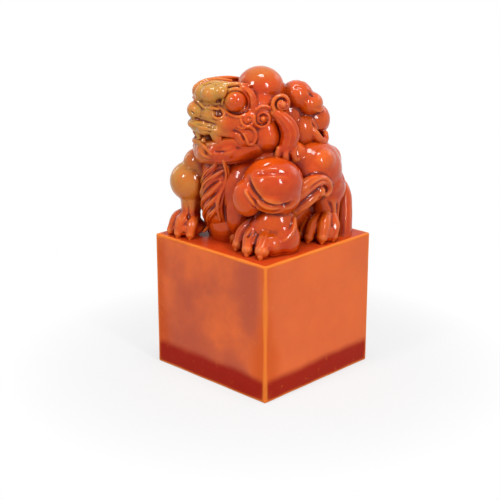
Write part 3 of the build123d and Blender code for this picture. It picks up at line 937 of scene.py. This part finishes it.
def make_head():
    """The head: skull, crown, brows, snout, nose, upper lip, cheeks, jowls and their curls."""
    space = head_space()
    rough = lumps(space, [
        ((0, 0, 33), (8.2, 8.7, 8.5)),
        ((0, -6, 35), (6.4, 6.2, 5.4)),
        ((0, -9.8, 32.2), (5.2, 6.2, 3.8)),
        ((0, 0.8, 27.2), (6.6, 6.2, 5.4)),
        ((0, -10.8, 37.0), (4.6, 4.8, 3.8)),
    ])
    for side in (1, -1):
        rough += lumps(space, mirrored_lumps([
            ((4.9, -3.4, 32.4), (3.5, 4.8, 4.4)),
            ((4.4, -8.2, 31.6), (2.6, 3.4, 2.8)),
            ((5.7, 1.2, 28.4), (3.4, 3.7, 4.8)),
        ], side))
    head = merged(rough, grain=0.36, softening=6)
    forms = lumps(space, [
        ((0, 1.3, 39.2), (6.05, 6.05, 5.5)),
        ((0, -14.7, 34.4), (2.8, 2.9, 2.5)),
        ((0, -12.6, 37.4), (2.4, 3.3, 2.6)),
        ((0, -15.0, 30.9), (2.9, 2.0, 2.1)),
    ])
    for side in (1, -1):
        forms += lumps(space, mirrored_lumps([
            ((6.0, 1.4, 27.8), (3.3, 3.4, 4.0)),
            ((3.3, -12.3, 39.0), (2.7, 2.6, 2.3), (0, 0, 20)),
            ((1.5, -14.0, 38.8), (2.0, 1.9, 2.2)),
            ((4.6, -9.9, 39.6), (1.9, 2.2, 1.8)),
            ((2.9, -12.4, 33.9), (1.9, 2.3, 1.7)),
            ((2.6, -13.6, 30.5), (2.3, 2.3, 2.1), (0, 0, -18)),
            ((4.3, -10.6, 29.9), (1.8, 2.3, 1.8), (0, 0, -18)),
            ((7.0, 4.7, 36.4), (1.3, 2.5, 2.5)),
            ((6.4, -3.9, 28.9), (1.9, 3.4, 3.4)),
        ], side))
        forms.append(roll(space, mirrored([(5.4, -4.6, 40.2, 1.1), (6.1, -3.2, 38.8, 1.5),
                                           (6.4, -2.6, 36.8, 1.6), (6.8, -2.2, 35.2, 1.1)], side)))
        forms.append(roll(space, mirrored([(3.6, -12.4, 29.6, 1.0), (5.0, -9.4, 29.4, 1.2),
                                           (6.0, -6.6, 28.9, 1.2), (6.4, -4.6, 27.6, 1.1)], side)))
    head = merged([head, *forms], grain=0.27, softening=3)
    for side in (1, -1):
        inward = (-side, 0, 0)
        bowls = [
            (half_width, depth, [(out, back + radius * math.cos(turn), high + radius * math.sin(turn))
                                 for turn in np.linspace(0, 6.4, 7)])
            for half_width, depth, radius, (out, back, high) in (
                (1.1, 0.45, 0.7, (7.6, -4.0, 32.9)),
                (1.4, 0.5, 1.1, (8.2, -0.2, 33.0)),
                (1.5, 0.6, 1.1, (8.0, 4.6, 36.5)),
            )
        ]
        socket = (1.0, 0.8, [(5.0, -9.3, 37.4), (5.3, -8.2, 39.4), (6.0, -6.2, 40.0), (6.7, -4.3, 38.8),
                             (7.0, -3.9, 36.6), (6.8, -5.0, 34.8), (6.0, -7.2, 34.5), (5.2, -9.0, 35.6)])
        cut(head, space, laid_strokes(head, space, inward, mirrored_strokes([*bowls, socket], side)))
    details = [roll(space, [(3.6, -14.2, 31.4, 0.9), (0, -16.4, 31.0, 1.1), (-3.6, -14.2, 31.4, 0.9)])]
    for side in (1, -1):
        inward = (-side, 0, 0)
        flat = [
            [(5.0, -9.7, 36.6, 0.3), (5.2, -9.4, 38.0, 0.42), (5.5, -8.2, 39.7, 0.48),
             (6.0, -6.2, 40.3, 0.48), (6.7, -4.4, 39.4, 0.45), (7.0, -3.5, 37.8, 0.42),
             (7.4, -3.5, 36.2, 0.36), (7.8, -4.2, 35.0, 0.25)],
            [(5.4, -9.4, 35.2, 0.3), (6.0, -7.8, 34.0, 0.42), (6.6, -5.8, 33.8, 0.42),
             (7.2, -4.4, 34.4, 0.3)],
            spiral((7.8, -4.0, 32.9), (1, 0, 0), 40, 1.85, 0.45, -1.5, 0.36),
            spiral((8.4, -0.2, 33.0), (1, 0, 0), 20, 2.35, 0.5, -1.75, 0.4),
            [(7.6, -6.4, 31.2, 0.25), (7.6, -5.4, 30.9, 0.38), (7.8, -4.1, 31.3, 0.42),
             (8.3, -2.8, 30.7, 0.45), (8.7, -2.0, 29.4, 0.45), (8.9, -2.1, 27.8, 0.45),
             (8.7, -3.0, 26.7, 0.42), (8.2, -3.9, 26.9, 0.42), (7.9, -4.4, 28.0, 0.4),
             (7.6, -5.0, 29.4, 0.3)],
            [(8.2, -1.9, 35.3, 0.3), (8.4, -0.2, 36.1, 0.42), (8.7, 1.6, 35.6, 0.45), (8.8, 2.7, 34.2, 0.4),
             (8.8, 2.8, 32.6, 0.3)],
            [(4.0, -10.6, 35.9, 0.3), (4.8, -9.6, 34.9, 0.42), (4.9, -9.6, 33.7, 0.42),
             (4.4, -10.8, 33.1, 0.4), (4.0, -12.0, 33.5, 0.35)],
        ]
        details += [roll(space, laid(head, space, inward, mirrored(rows, side), 0.06)) for rows in flat]
        proud = [
            [(5.2, -2.9, 40.9, 0.4), (4.6, -5.7, 41.2, 0.6), (4.2, -8.2, 41.1, 0.75),
             (3.6, -10.6, 40.9, 0.85), (3.2, -12.6, 40.4, 0.8), (3.6, -13.8, 39.2, 0.5)],
            [(5.4, -8.6, 41.1, 0.35), (4.9, -10.2, 40.8, 0.5), (4.6, -11.9, 39.4, 0.55),
             (4.2, -12.8, 37.8, 0.35)],
            [(2.6, -5.6, 40.8, 0.4), (2.4, -8.6, 41.2, 0.6), (2.0, -11.0, 41.3, 0.75),
             (1.6, -13.4, 40.8, 0.7), (1.2, -15.0, 39.6, 0.45)],
            [(1.6, -15.6, 37.3, 0.3), (2.5, -14.9, 36.6, 0.38), (3.3, -13.7, 35.5, 0.4),
             (4.3, -12.3, 35.6, 0.42), (4.9, -10.8, 35.4, 0.4)],
            spiral((8.0, 4.6, 36.5), (1, 0.08, 0.1), -35, 2.5, 0.6, 1.35, 0.55, 0.2),
        ]
        details += [roll(space, mirrored(rows, side)) for rows in proud]
        details += lumps(space, mirrored_lumps([
            ((8.3, 4.8, 36.3), (0.85, 0.95, 0.95)),
            ((7.9, -3.9, 32.9), (0.5, 0.55, 0.55)),
            ((8.2, -0.2, 33.0), (0.55, 0.65, 0.65)),
        ], side))
    head = merged([head, *details], grain=0.19, softening=1)
    strokes = []
    for side in (1, -1):
        inward = (-side, 0, 0)
        strokes += laid_strokes(head, space, inward, mirrored_strokes([
            (0.5, 0.4, [(6.4, -7.4, 30.2), (6.9, -6.2, 29.8), (7.2, -5.4, 28.6), (7.0, -5.0, 27.4)]),
            (0.45, 0.3, [(1.6, -16.2, 32.7), (3.0, -15.0, 32.5), (4.0, -13.2, 32.1), (4.8, -11.2, 31.6)]),
            (0.4, 0.25, [(1.8, -16.4, 31.4), (3.2, -15.0, 31.3), (4.2, -13.2, 30.9), (5.0, -11.2, 30.5)]),
            (0.4, 0.25, [(2.0, -16.0, 30.1), (3.4, -14.6, 30.0), (4.4, -12.6, 29.6), (5.2, -10.6, 29.4)]),
        ], side))
        strokes += mirrored_strokes([
            (0.35, 0.3, [(4.9, -5.6, 42.5), (4.4, -8.4, 42.7), (3.7, -10.8, 42.4), (3.9, -12.9, 41.6)]),
            (0.6, 0.5, [(2.4, -13.6, 37.2), (3.4, -12.2, 37.0), (4.4, -10.8, 37.2), (5.0, -10.2, 38.2)]),
            (0.5, 0.45, [(1.0, -15.8, 36.9), (2.4, -14.4, 37.6), (2.6, -13.4, 39.2), (2.4, -12.8, 41)]),
            (0.45, 0.4, [(4.0, -11.8, 41.0), (4.6, -11.4, 39.4), (5.0, -10.6, 38.4)]),
            (0.5, 0.5, [(1.5, -17.4, 34.6), (2.0, -16.2, 34.0), (2.3, -15.4, 34.5)]),
        ], side)
    cut(head, space, strokes)
    hand_in(head, "lion_head", material_named("carved_lion"), [
        "skull", "crown_knob", "muzzle", "nose", "upper_lip", "left_jowl", "right_jowl", "left_brow",
        "right_brow", "left_ear", "right_ear", "left_cheek_curls", "right_cheek_curls"])


def make_eyes():
    """The eyes: glossy balls, each with a small drilled pupil."""
    space = head_space()
    for side, name in ((1, "left"), (-1, "right")):
        ball = merged([lump(space, (5.7 * side, -6.6, 37.2), (2.55, 2.75, 2.6))], grain=0.12, softening=1)
        cut(ball, space, [(0.3, 0.3, mirrored([(8.2, -7.0, 37.7), (8.25, -6.9, 37.5)], side))])
        hand_in(ball, f"{name}_eyeball", material_named("carved_lion"), [f"{name}_eye"])


def make_jaw():
    """The lower jaw with its curled lip, the tongue and the upper fangs, round the open mouth."""
    space = head_space()
    rough = lumps(space, [((0, -9.4, 23.4), (4.4, 6.0, 3.0)), ((0, -13.6, 23.8), (3.2, 2.4, 3.2))])
    for side in (1, -1):
        rough.append(roll(space, mirrored([(1.6, -13.2, 23.4, 2.5), (3.0, -9.8, 23.6, 2.9),
                                           (4.0, -5.2, 24.2, 3.3), (4.2, -1.2, 25.4, 3.6)], side)))
    jaw = merged(rough, grain=0.3, softening=5)
    forms = []
    for side in (1, -1):
        forms += lumps(space, mirrored_lumps([
            ((1.9, -13.9, 24.4), (2.1, 1.9, 2.7)),
            ((3.8, -11.2, 24.3), (1.9, 2.4, 2.4)),
            ((5.0, -7.8, 24.9), (2.0, 2.8, 2.6)),
        ], side))
        forms.append(roll(space, mirrored([(3.0, -13.0, 26.0, 1.1), (4.2, -10.8, 26.3, 1.35),
                                           (5.2, -8.2, 26.9, 1.4), (5.9, -5.8, 26.9, 1.3),
                                           (6.3, -4.0, 25.9, 1.1)], side)))
    jaw = merged([jaw, *forms], grain=0.24, softening=3)
    rim = []
    for side in (1, -1):
        inward = (-side, 0, 0)
        for rows in (
            [(1.8, -15.2, 26.8, 0.35), (2.8, -14.2, 26.0, 0.55), (3.4, -13.4, 25.0, 0.45),
             (3.7, -12.8, 24.2, 0.25)],
            [(2.8, -15.4, 24.6, 0.3), (3.2, -14.2, 23.6, 0.42), (3.6, -12.9, 22.9, 0.25)],
        ):
            rim.append(roll(space, laid(jaw, space, inward, mirrored(rows, side), 0.08)))
        rim += lumps(space, mirrored_lumps([
            ((1.1, -14.9, 27.3), (0.65, 0.6, 0.9)),
            ((2.5, -14.0, 27.1), (0.65, 0.6, 0.8)),
        ], side))
    rim.append(roll(space, [(2.2, -14.8, 26.6, 0.7), (0, -15.6, 26.6, 0.8), (-2.2, -14.8, 26.6, 0.7)]))
    jaw = merged([jaw, *rim], grain=0.2, softening=1)
    strokes = []
    for side in (1, -1):
        inward = (-side, 0, 0)
        strokes += laid_strokes(jaw, space, inward, mirrored_strokes([
            (0.6, 0.4, [(3.4, -12.6, 25.0), (4.6, -10.0, 24.8), (5.6, -7.0, 25.6)]),
            (0.5, 0.3, [(3.0, -13.4, 21.8), (5.0, -9.0, 21.6), (6.8, -4.6, 22.6)]),
        ], side))
    cut(jaw, space, strokes)
    hand_in(jaw, "jaw_and_lip", material_named("carved_lion"), ["lower_jaw"])
    flesh = merged([roll(space, [(0, -5.4, 26.6, 2.2), (0, -9.6, 27.2, 2.6),
                                 (0, -12.6, 27.2, 2.2)])], grain=0.2, softening=2)
    cut(flesh, space, [(0.5, 0.35, [(0, -6, 28.8), (0, -10.0, 29), (0, -14.0, 28)])])
    hand_in(flesh, "mouth_tongue", material_named("carved_lion"), ["tongue"])
    teeth = []
    for side in (1, -1):
        teeth.append(roll(space, mirrored([(3.8, -11.2, 29.4, 1.7), (4.2, -10.8, 27.9, 1.45),
                                           (4.6, -10.2, 26.6, 1.15), (4.9, -9.4, 25.9, 0.8)], side)))
        teeth.append(roll(space, mirrored([(1.6, -14.8, 29.6, 1.0), (1.7, -15.0, 28.6, 0.9),
                                           (1.8, -14.9, 27.9, 0.6)], side)))
    fangs = merged(teeth, grain=0.14, softening=1)
    hand_in(fangs, "upper_fangs", material_named("carved_lion"), ["canines"])


# The mane's curls: the middle, the way out, the start in degrees, the radius and the turns
CURL_HEIGHT = 4
CURL_EYE = 0.7
CURL_THICKNESS = 0.5
MANE_CURLS = (
    ((-2.4, 6.8, 35.4), (-0.35, 0.85, 0.4), 200, 3.0, 1.5),
    ((-2.8, 11.4, 29.6), (-0.4, 0.9, 0.1), 30, 3.2, -1.5),
    ((-5.8, 6.4, 26.6), (-0.95, 0.3, 0.05), 120, 3.0, 1.5),
    ((6.5, 11.4, 29.7), (0.35, 0.93, 0.1), 150, 3.3, 1.5),
    ((5.9, 6.0, 36.8), (0.1, 0.8, 0.6), 330, 2.9, -1.5),
    ((2.0, 9.4, 32.2), (0.0, 0.98, 0.2), 90, 2.3, 1.5),
)


def make_mane():
    """The locks of mane behind the head and the long locks that fall from behind the ears."""
    space = stone_space()
    rough = lumps(space, [
        ((5.9, 6.0, 36.8), (4.2, 4.4, 3.7), (0, 0, 30)),
        ((8.2, 8.3, 34.6), (3.5, 3.8, 3.0)),
        ((6.5, 11.4, 29.7), (4.8, 4.8, 4.6)),
        ((7.4, 7.0, 27.4), (3.8, 4.4, 5.0)),
        ((-2.4, 6.8, 35.4), (4.2, 4.4, 3.9)),
        ((-2.8, 11.4, 29.6), (4.4, 4.5, 4.2)),
        ((-5.8, 6.4, 26.6), (3.8, 4.2, 4.6)),
        ((2.0, 9.4, 32.2), (3.6, 4.0, 4.6)),
        ((2.0, 4.4, 31), (6.4, 5.2, 6.6)),
    ])
    mane = merged(rough, grain=0.32, softening=2)
    details = [
        roll(space, [(9.6, 5.0, 35.6, 0.5), (10.6, 7.0, 33.8, 0.75), (10.9, 9.4, 33.2, 0.8),
                     (10.2, 11.4, 33.4, 0.5)]),
        roll(space, [(8.2, 8.8, 28.2, 1.9), (9.0, 8.4, 26.2, 1.9), (10.0, 8.2, 24.4, 1.7),
                     (11.2, 9.0, 23.0, 1.3), (11.6, 10.4, 23.4, 1.0)]),
        roll(space, [(7.2, 11.6, 27.4, 1.8), (8.4, 12.0, 25.6, 1.6), (9.2, 12.4, 24.2, 1.3),
                     (9.8, 12.8, 23.6, 1.0)]),
        roll(space, [(8.6, 7.4, 29.6, 1.0), (10.2, 7.4, 28.0, 1.4), (11.0, 8.2, 26.2, 1.4),
                     (11.4, 9.6, 25.0, 1.2), (11.4, 11.2, 25.2, 0.9), (11.0, 11.6, 26.6, 0.8)]),
        roll(space, [(-6.6, 8.4, 24.4, 1.5), (-8.4, 8.8, 22.6, 1.3), (-9.6, 10.2, 22.0, 0.9),
                     (-9.4, 11.4, 23.0, 0.5)]),
        roll(space, [(0.6, 13.6, 26.4, 1.3), (-0.6, 15.6, 25.0, 1.2), (-2.4, 16.6, 24.6, 0.9),
                     (-3.6, 16.2, 25.6, 0.5)]),
    ]
    mane = merged([mane, *details], grain=0.22, softening=2)
    strokes = []
    for middle, out, start, radius, turns in MANE_CURLS:
        outside = Vector(middle) + Vector(out) * CURL_HEIGHT
        rows = spiral(tuple(outside), out, start, radius, CURL_EYE, turns, CURL_THICKNESS)
        strokes += laid_strokes(mane, space, tuple(-Vector(out)), [(0.75, 0.55, [row[:3] for row in rows])])
    crest = (0.6, 0.5, [(11, 6.6, 30.4), (12, 8.2, 28.2), (12, 10.0, 26.8)])
    strokes += laid_strokes(mane, space, (-1, 0.2, 0), [crest])
    strokes += [
        (0.8, 0.5, [(7.6, 3.0, 39.6), (9.2, 5.8, 38.0), (10.6, 8.4, 36.0)]),
        (0.7, 0.45, [(4.4, 7.6, 40.4), (6.8, 9.6, 38.4), (8.0, 11.4, 35.8)]),
        (0.6, 0.4, [(9.8, 9.4, 32.2), (10.6, 11.6, 30.2), (9.4, 13.6, 27.6)]),
        (0.6, 0.4, [(6.6, 14.4, 33.0), (7.0, 15.8, 30.4), (6.2, 15.6, 27.4)]),
        (0.6, 0.4, [(3.0, 13.6, 33.4), (2.6, 15.0, 30.6), (2.8, 14.8, 27.6)]),
        (0.7, 0.4, [(-3.8, 9.6, 38.0), (-5.6, 10.6, 35.6), (-6.2, 10.2, 32.8)]),
        (0.7, 0.4, [(-0.6, 10.6, 38.0), (-1.0, 12.4, 35.4)]),
        (0.6, 0.4, [(-4.6, 14.6, 32.4), (-5.4, 15.6, 29.8), (-4.6, 15.2, 27.0)]),
        (0.6, 0.4, [(-8.4, 6.0, 29.0), (-9.4, 7.4, 26.6), (-9.0, 8.4, 24.0)]),
    ]
    cut(mane, space, strokes)
    hand_in(mane, "mane_locks", material_named("carved_lion"),
            ["upper_mane_lock", "lower_mane_lock", "right_mane_locks"])
    space = head_space()
    for side, name in ((1, "left"), (-1, "right")):
        main = roll(space, mirrored([(7.6, 2.9, 34.4, 1.2), (8.1, 4.4, 33.2, 1.8), (8.3, 6.0, 31.2, 2.3),
                                     (8.4, 6.7, 28.8, 2.5), (8.4, 6.2, 26.6, 2.3), (8.4, 5.4, 24.6, 1.9),
                                     (8.6, 5.4, 22.8, 1.3)], side))
        flutes = [
            roll(space, mirrored([(9.4, 7.4, 25.6, 0.9), (9.6, 7.2, 24.0, 1.0), (9.2, 7.8, 22.6, 0.9),
                                  (8.8, 8.6, 22.4, 0.6)], side)),
            roll(space, mirrored([(9.6, 5.6, 25.0, 0.9), (9.8, 5.2, 23.4, 0.95), (9.4, 5.6, 21.8, 0.8),
                                  (8.8, 6.4, 21.2, 0.5)], side)),
            roll(space, mirrored([(8.8, 3.8, 25.4, 0.8), (9.0, 3.4, 23.8, 0.85),
                                  (8.8, 3.6, 22.4, 0.6)], side)),
        ]
        lock = merged([main, *flutes], grain=0.2, softening=2)
        cut(lock, space, [
            (0.45, 0.4, mirrored([(10.9, 6.7, 26.4), (10.7, 6.2, 25.0), (10.4, 6.2, 23.6),
                                  (9.8, 6.8, 22.2)], side)),
        ])
        hand_in(lock, f"{name}_long_lock", material_named("carved_lion"), [f"{name}_side_lock"])


# The studio

def backdrop_share(tree):
    """1 for the rays that see the white background: from the camera, a gloss or a clear piece."""
    path = tree.nodes.new("ShaderNodeLightPath")
    seen = maths(tree, "ADD", path.outputs["Is Camera Ray"], path.outputs["Is Glossy Ray"], clamp=True)
    return maths(tree, "ADD", seen, path.outputs["Is Transmission Ray"], clamp=True)


def floor_material():
    """A white paper sweep, which the camera sees as plain white apart from the object's soft shadow."""
    material = bpy.data.materials.new("floor_paper")
    material.use_nodes = True
    tree = material.node_tree
    shader = tree.nodes["Principled BSDF"]
    grain = node(tree, "ShaderNodeTexNoise", values={"Scale": 900.0, "Detail": 3.0})
    tree.links.new(node(tree, "ShaderNodeTexCoord").outputs["Object"], grain.inputs["Vector"])
    tone = ramp(tree, [(0.3, 0.60), (0.7, 0.64)])
    tree.links.new(grain.outputs["Fac"], tone.inputs["Fac"])
    tree.links.new(tone.outputs["Color"], shader.inputs["Base Color"])
    shader.inputs["Roughness"].default_value = 0.75
    shader.inputs["Specular IOR Level"].default_value = 0.2

    # Away from the object, the paper is as white as the background
    gap = node(tree, "ShaderNodeVectorMath", operation="LENGTH")
    tree.links.new(node(tree, "ShaderNodeTexCoord").outputs["Object"], gap.inputs[0])
    far = maths(tree, "ADD", ramped(tree, gap.outputs["Value"], 0.03, 0.14), 0.72, clamp=True)
    share = maths(tree, "MULTIPLY", backdrop_share(tree), far)
    white = node(tree, "ShaderNodeEmission", values={"Color": (1, 1, 1, 1), "Strength": 1.0})
    mix = tree.nodes.new("ShaderNodeMixShader")
    tree.links.new(share, mix.inputs[0])
    tree.links.new(shader.outputs[0], mix.inputs[1])
    tree.links.new(white.outputs[0], mix.inputs[2])
    tree.links.new(mix.outputs[0], tree.nodes["Material Output"].inputs["Surface"])
    return material


def make_studio():
    """The floor, the soft lights, the pale surroundings and the camera."""
    look = bpy.context.scene.seal_studio
    bpy.ops.mesh.primitive_grid_add(x_subdivisions=12, y_subdivisions=12, size=3.0,
                                    location=(0, 0, BLOCK_LOW[2]))
    floor = bpy.context.object
    floor.name = floor.data.name = "floor"
    bpy.ops.object.transform_apply(location=True, rotation=True, scale=True)
    floor.data.materials.append(material_named("floor_paper"))

    middle = Vector((0, 0, (CAD_HIGH.z + CAD_LOW.z) * 0.58))
    for name, place, size, power in (
        ("key_light", (-0.02, -0.5, 0.40), (0.07, 0.18), look.key_power),
        ("right_light", (0.50, -0.10, 0.34), (0.06, 0.2), look.side_power),
        ("top_light", (0.06, -0.02, 0.62), (0.16, 0.16), look.top_power),
        ("left_light", (-0.55, -0.05, 0.25), (0.12, 0.3), look.left_power),
        ("back_light", (0.1, 0.55, 0.35), (0.3, 0.2), look.left_power),
    ):
        bpy.ops.object.light_add(type="AREA", location=place)
        lamp = bpy.context.object
        lamp.name = name
        lamp.data.shape = "RECTANGLE"
        lamp.data.size, lamp.data.size_y = size
        lamp.data.energy = power
        lamp.rotation_euler = (middle - Vector(place)).to_track_quat("-Z", "Y").to_euler()

    scene = bpy.context.scene
    scene.world = scene.world or bpy.data.worlds.new("studio")
    scene.world.use_nodes = True
    tree = scene.world.node_tree
    tree.nodes.clear()
    sky = node(tree, "ShaderNodeBackground", values={"Color": (1, 1, 1, 1), "Strength": look.surround})
    white = node(tree, "ShaderNodeBackground", values={"Color": (1, 1, 1, 1), "Strength": 1.0})
    pick_white = tree.nodes.new("ShaderNodeMixShader")
    out = tree.nodes.new("ShaderNodeOutputWorld")
    tree.links.new(backdrop_share(tree), pick_white.inputs[0])
    tree.links.new(sky.outputs[0], pick_white.inputs[1])
    tree.links.new(white.outputs[0], pick_white.inputs[2])
    tree.links.new(pick_white.outputs[0], out.inputs["Surface"])
    scene.view_settings.view_transform = "Standard"

    bpy.ops.object.camera_add()
    camera = bpy.context.object
    camera.name = "photo_camera"
    around, above = math.radians(look.azimuth), math.radians(look.elevation)
    back = Vector((math.sin(around) * math.cos(above), -math.cos(around) * math.cos(above), math.sin(above)))
    aim = Vector(look.aim) * MM
    camera.location = aim + back * look.distance * MM
    camera.rotation_mode = "QUATERNION"
    camera.rotation_quaternion = (-back).to_track_quat("-Z", "Y")
    camera.data.sensor_width = 36
    camera.data.lens = look.lens
    camera.data.clip_start, camera.data.clip_end = 0.01, 10
    scene.camera = camera


# The add-on's settings, operators and panel

def stone_colour(name, description, default):
    """A colour setting."""
    return FloatVectorProperty(name=name, description=description, subtype="COLOR", default=default)


def lamp_power(name, description, default):
    """A lamp's power setting."""
    return FloatProperty(name=name, description=description, default=default, unit="POWER")


class SealSizes(bpy.types.PropertyGroup):
    """Sizes of the stone that a user may change."""
    edge_ease: FloatProperty(name="Edge ease", description="How far the block's edges are rounded, in mm",
                             default=0.5, min=0.1, max=2.0)


class SealColours(bpy.types.PropertyGroup):
    """Colours of the stone."""
    red: stone_colour("Red", "The lion's main colour", (0.52, 0.038, 0.0015))
    orange: stone_colour("Orange", "The lighter clouds in it", (0.66, 0.085, 0.003))
    amber: stone_colour("Amber", "The honey-coloured zones", (0.56, 0.185, 0.024))
    olive: stone_colour("Olive", "The yellow-green heart of those zones", (0.46, 0.29, 0.055))
    # Painted shade for the grooves and hollows
    deep: stone_colour("Deep red", "The colour in the hollows", (0.13, 0.004, 0.001))
    # Painted shade between forms that stand close
    shade: stone_colour("Shade", "The colour between forms that stand close", (0.24, 0.008, 0.0005))
    # Painted highlight for the lion's ridges and the block's edges, and the colour of the block's light
    # flecks
    ridge: stone_colour("Ridge", "The thin, lit edges", (0.86, 0.24, 0.035))
    block_red: stone_colour("Block red", "The block's main colour", (0.56, 0.105, 0.050))
    block_orange: stone_colour("Block orange", "The block's lighter clouds", (0.86, 0.170, 0.045))
    # Painted dark reflection at the block's foot
    block_dark_reflection: stone_colour("Block foot", "The deep band at its foot", (0.36, 0.007, 0.0005))
    translucence: FloatProperty(name="Translucence", description="How much light enters the stone",
                                default=0.25, min=0, max=1)


class SealStudio(bpy.types.PropertyGroup):
    """The lights and the camera."""
    key_power: lamp_power("Key light", "Power of the front light", 1.55)
    side_power: lamp_power("Side light", "Power of the right light", 1.65)
    top_power: lamp_power("Top light", "Power of the light above", 1.95)
    left_power: lamp_power("Left light", "Power of the left light", 0.3)
    surround: FloatProperty(name="Surround", description="Strength of the pale room", default=0.12)
    azimuth: FloatProperty(name="Azimuth", description="Camera angle round the stone, degrees",
                           default=44.229)
    elevation: FloatProperty(name="Elevation", description="Camera angle above the floor, degrees",
                             default=18.171)
    distance: FloatProperty(name="Distance", description="Camera to aim point, in mm", default=328.14)
    lens: FloatProperty(name="Lens", description="Focal length on a 36 mm sensor", default=89.26)
    aim: FloatVectorProperty(name="Aim", description="The point that the camera looks at, in mm",
                             default=(-2.433, -2.369, 31.532))


class OBJECT_OT_seal_block(bpy.types.Operator):
    """Makes the stone block"""
    bl_idname = "object.seal_block"
    bl_label = "Block"

    def execute(self, context):
        make_block()
        return {"FINISHED"}


class OBJECT_OT_seal_body(bpy.types.Operator):
    """Makes the lion's body, tail and breast hair"""
    bl_idname = "object.seal_body"
    bl_label = "Body"

    def execute(self, context):
        make_body()
        make_tail()
        make_chest_mane()
        return {"FINISHED"}


class OBJECT_OT_seal_legs(bpy.types.Operator):
    """Makes the legs and paws"""
    bl_idname = "object.seal_legs"
    bl_label = "Legs and paws"

    def execute(self, context):
        make_left_foreleg()
        make_right_foreleg()
        make_hind_paws()
        return {"FINISHED"}


class OBJECT_OT_seal_head(bpy.types.Operator):
    """Makes the head, eyes and jaw"""
    bl_idname = "object.seal_head"
    bl_label = "Head"

    def execute(self, context):
        make_head()
        make_eyes()
        make_jaw()
        return {"FINISHED"}


class OBJECT_OT_seal_mane(bpy.types.Operator):
    """Makes the mane and the long locks"""
    bl_idname = "object.seal_mane"
    bl_label = "Mane"

    def execute(self, context):
        make_mane()
        return {"FINISHED"}


class OBJECT_OT_seal_painted_shade(bpy.types.Operator):
    """Paints shade into the colour between the lion's forms"""
    bl_idname = "object.seal_depth"
    bl_label = "Painted shade"

    def execute(self, context):
        lion = bpy.data.materials["carved_lion"]
        meshes = [item for item in bpy.data.objects if item.type == "MESH"]
        store_painted_shade([item for item in meshes if lion in item.data.materials[:]])
        return {"FINISHED"}


class OBJECT_OT_seal_studio(bpy.types.Operator):
    """Makes the floor, the lights and the camera"""
    bl_idname = "object.seal_studio"
    bl_label = "Studio"

    def execute(self, context):
        make_studio()
        return {"FINISHED"}


OPERATORS = (OBJECT_OT_seal_block, OBJECT_OT_seal_body, OBJECT_OT_seal_legs, OBJECT_OT_seal_head,
             OBJECT_OT_seal_mane, OBJECT_OT_seal_painted_shade, OBJECT_OT_seal_studio)


class VIEW3D_PT_lion_seal(bpy.types.Panel):
    """Lists the pieces of the seal"""
    bl_label = "Lion seal"
    bl_idname = "VIEW3D_PT_lion_seal"
    bl_space_type = "VIEW_3D"
    bl_region_type = "UI"
    bl_category = "Lion seal"

    def draw(self, context):
        for settings in (context.scene.seal_sizes, context.scene.seal_colours, context.scene.seal_studio):
            for key in settings.__annotations__:
                self.layout.prop(settings, key)
        for operator in OPERATORS:
            self.layout.operator(operator.bl_idname)


SETTINGS = {"seal_sizes": SealSizes, "seal_colours": SealColours, "seal_studio": SealStudio}
CLASSES = (*SETTINGS.values(), *OPERATORS, VIEW3D_PT_lion_seal)


def register():
    """Registers the classes and their settings on the scene."""
    for item in CLASSES:
        bpy.utils.register_class(item)
    for name, group in SETTINGS.items():
        setattr(bpy.types.Scene, name, PointerProperty(type=group))


def unregister():
    """Takes them away again."""
    for name in SETTINGS:
        delattr(bpy.types.Scene, name)
    for item in reversed(CLASSES):
        bpy.utils.unregister_class(item)


def main():
    """Makes every piece in turn."""
    register()
    bpy.ops.object.seal_block()
    bpy.ops.object.seal_body()
    bpy.ops.object.seal_legs()
    bpy.ops.object.seal_head()
    bpy.ops.object.seal_mane()
    bpy.ops.object.seal_depth()
    bpy.ops.object.seal_studio()
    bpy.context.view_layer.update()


if __name__ == "__main__":
    main()
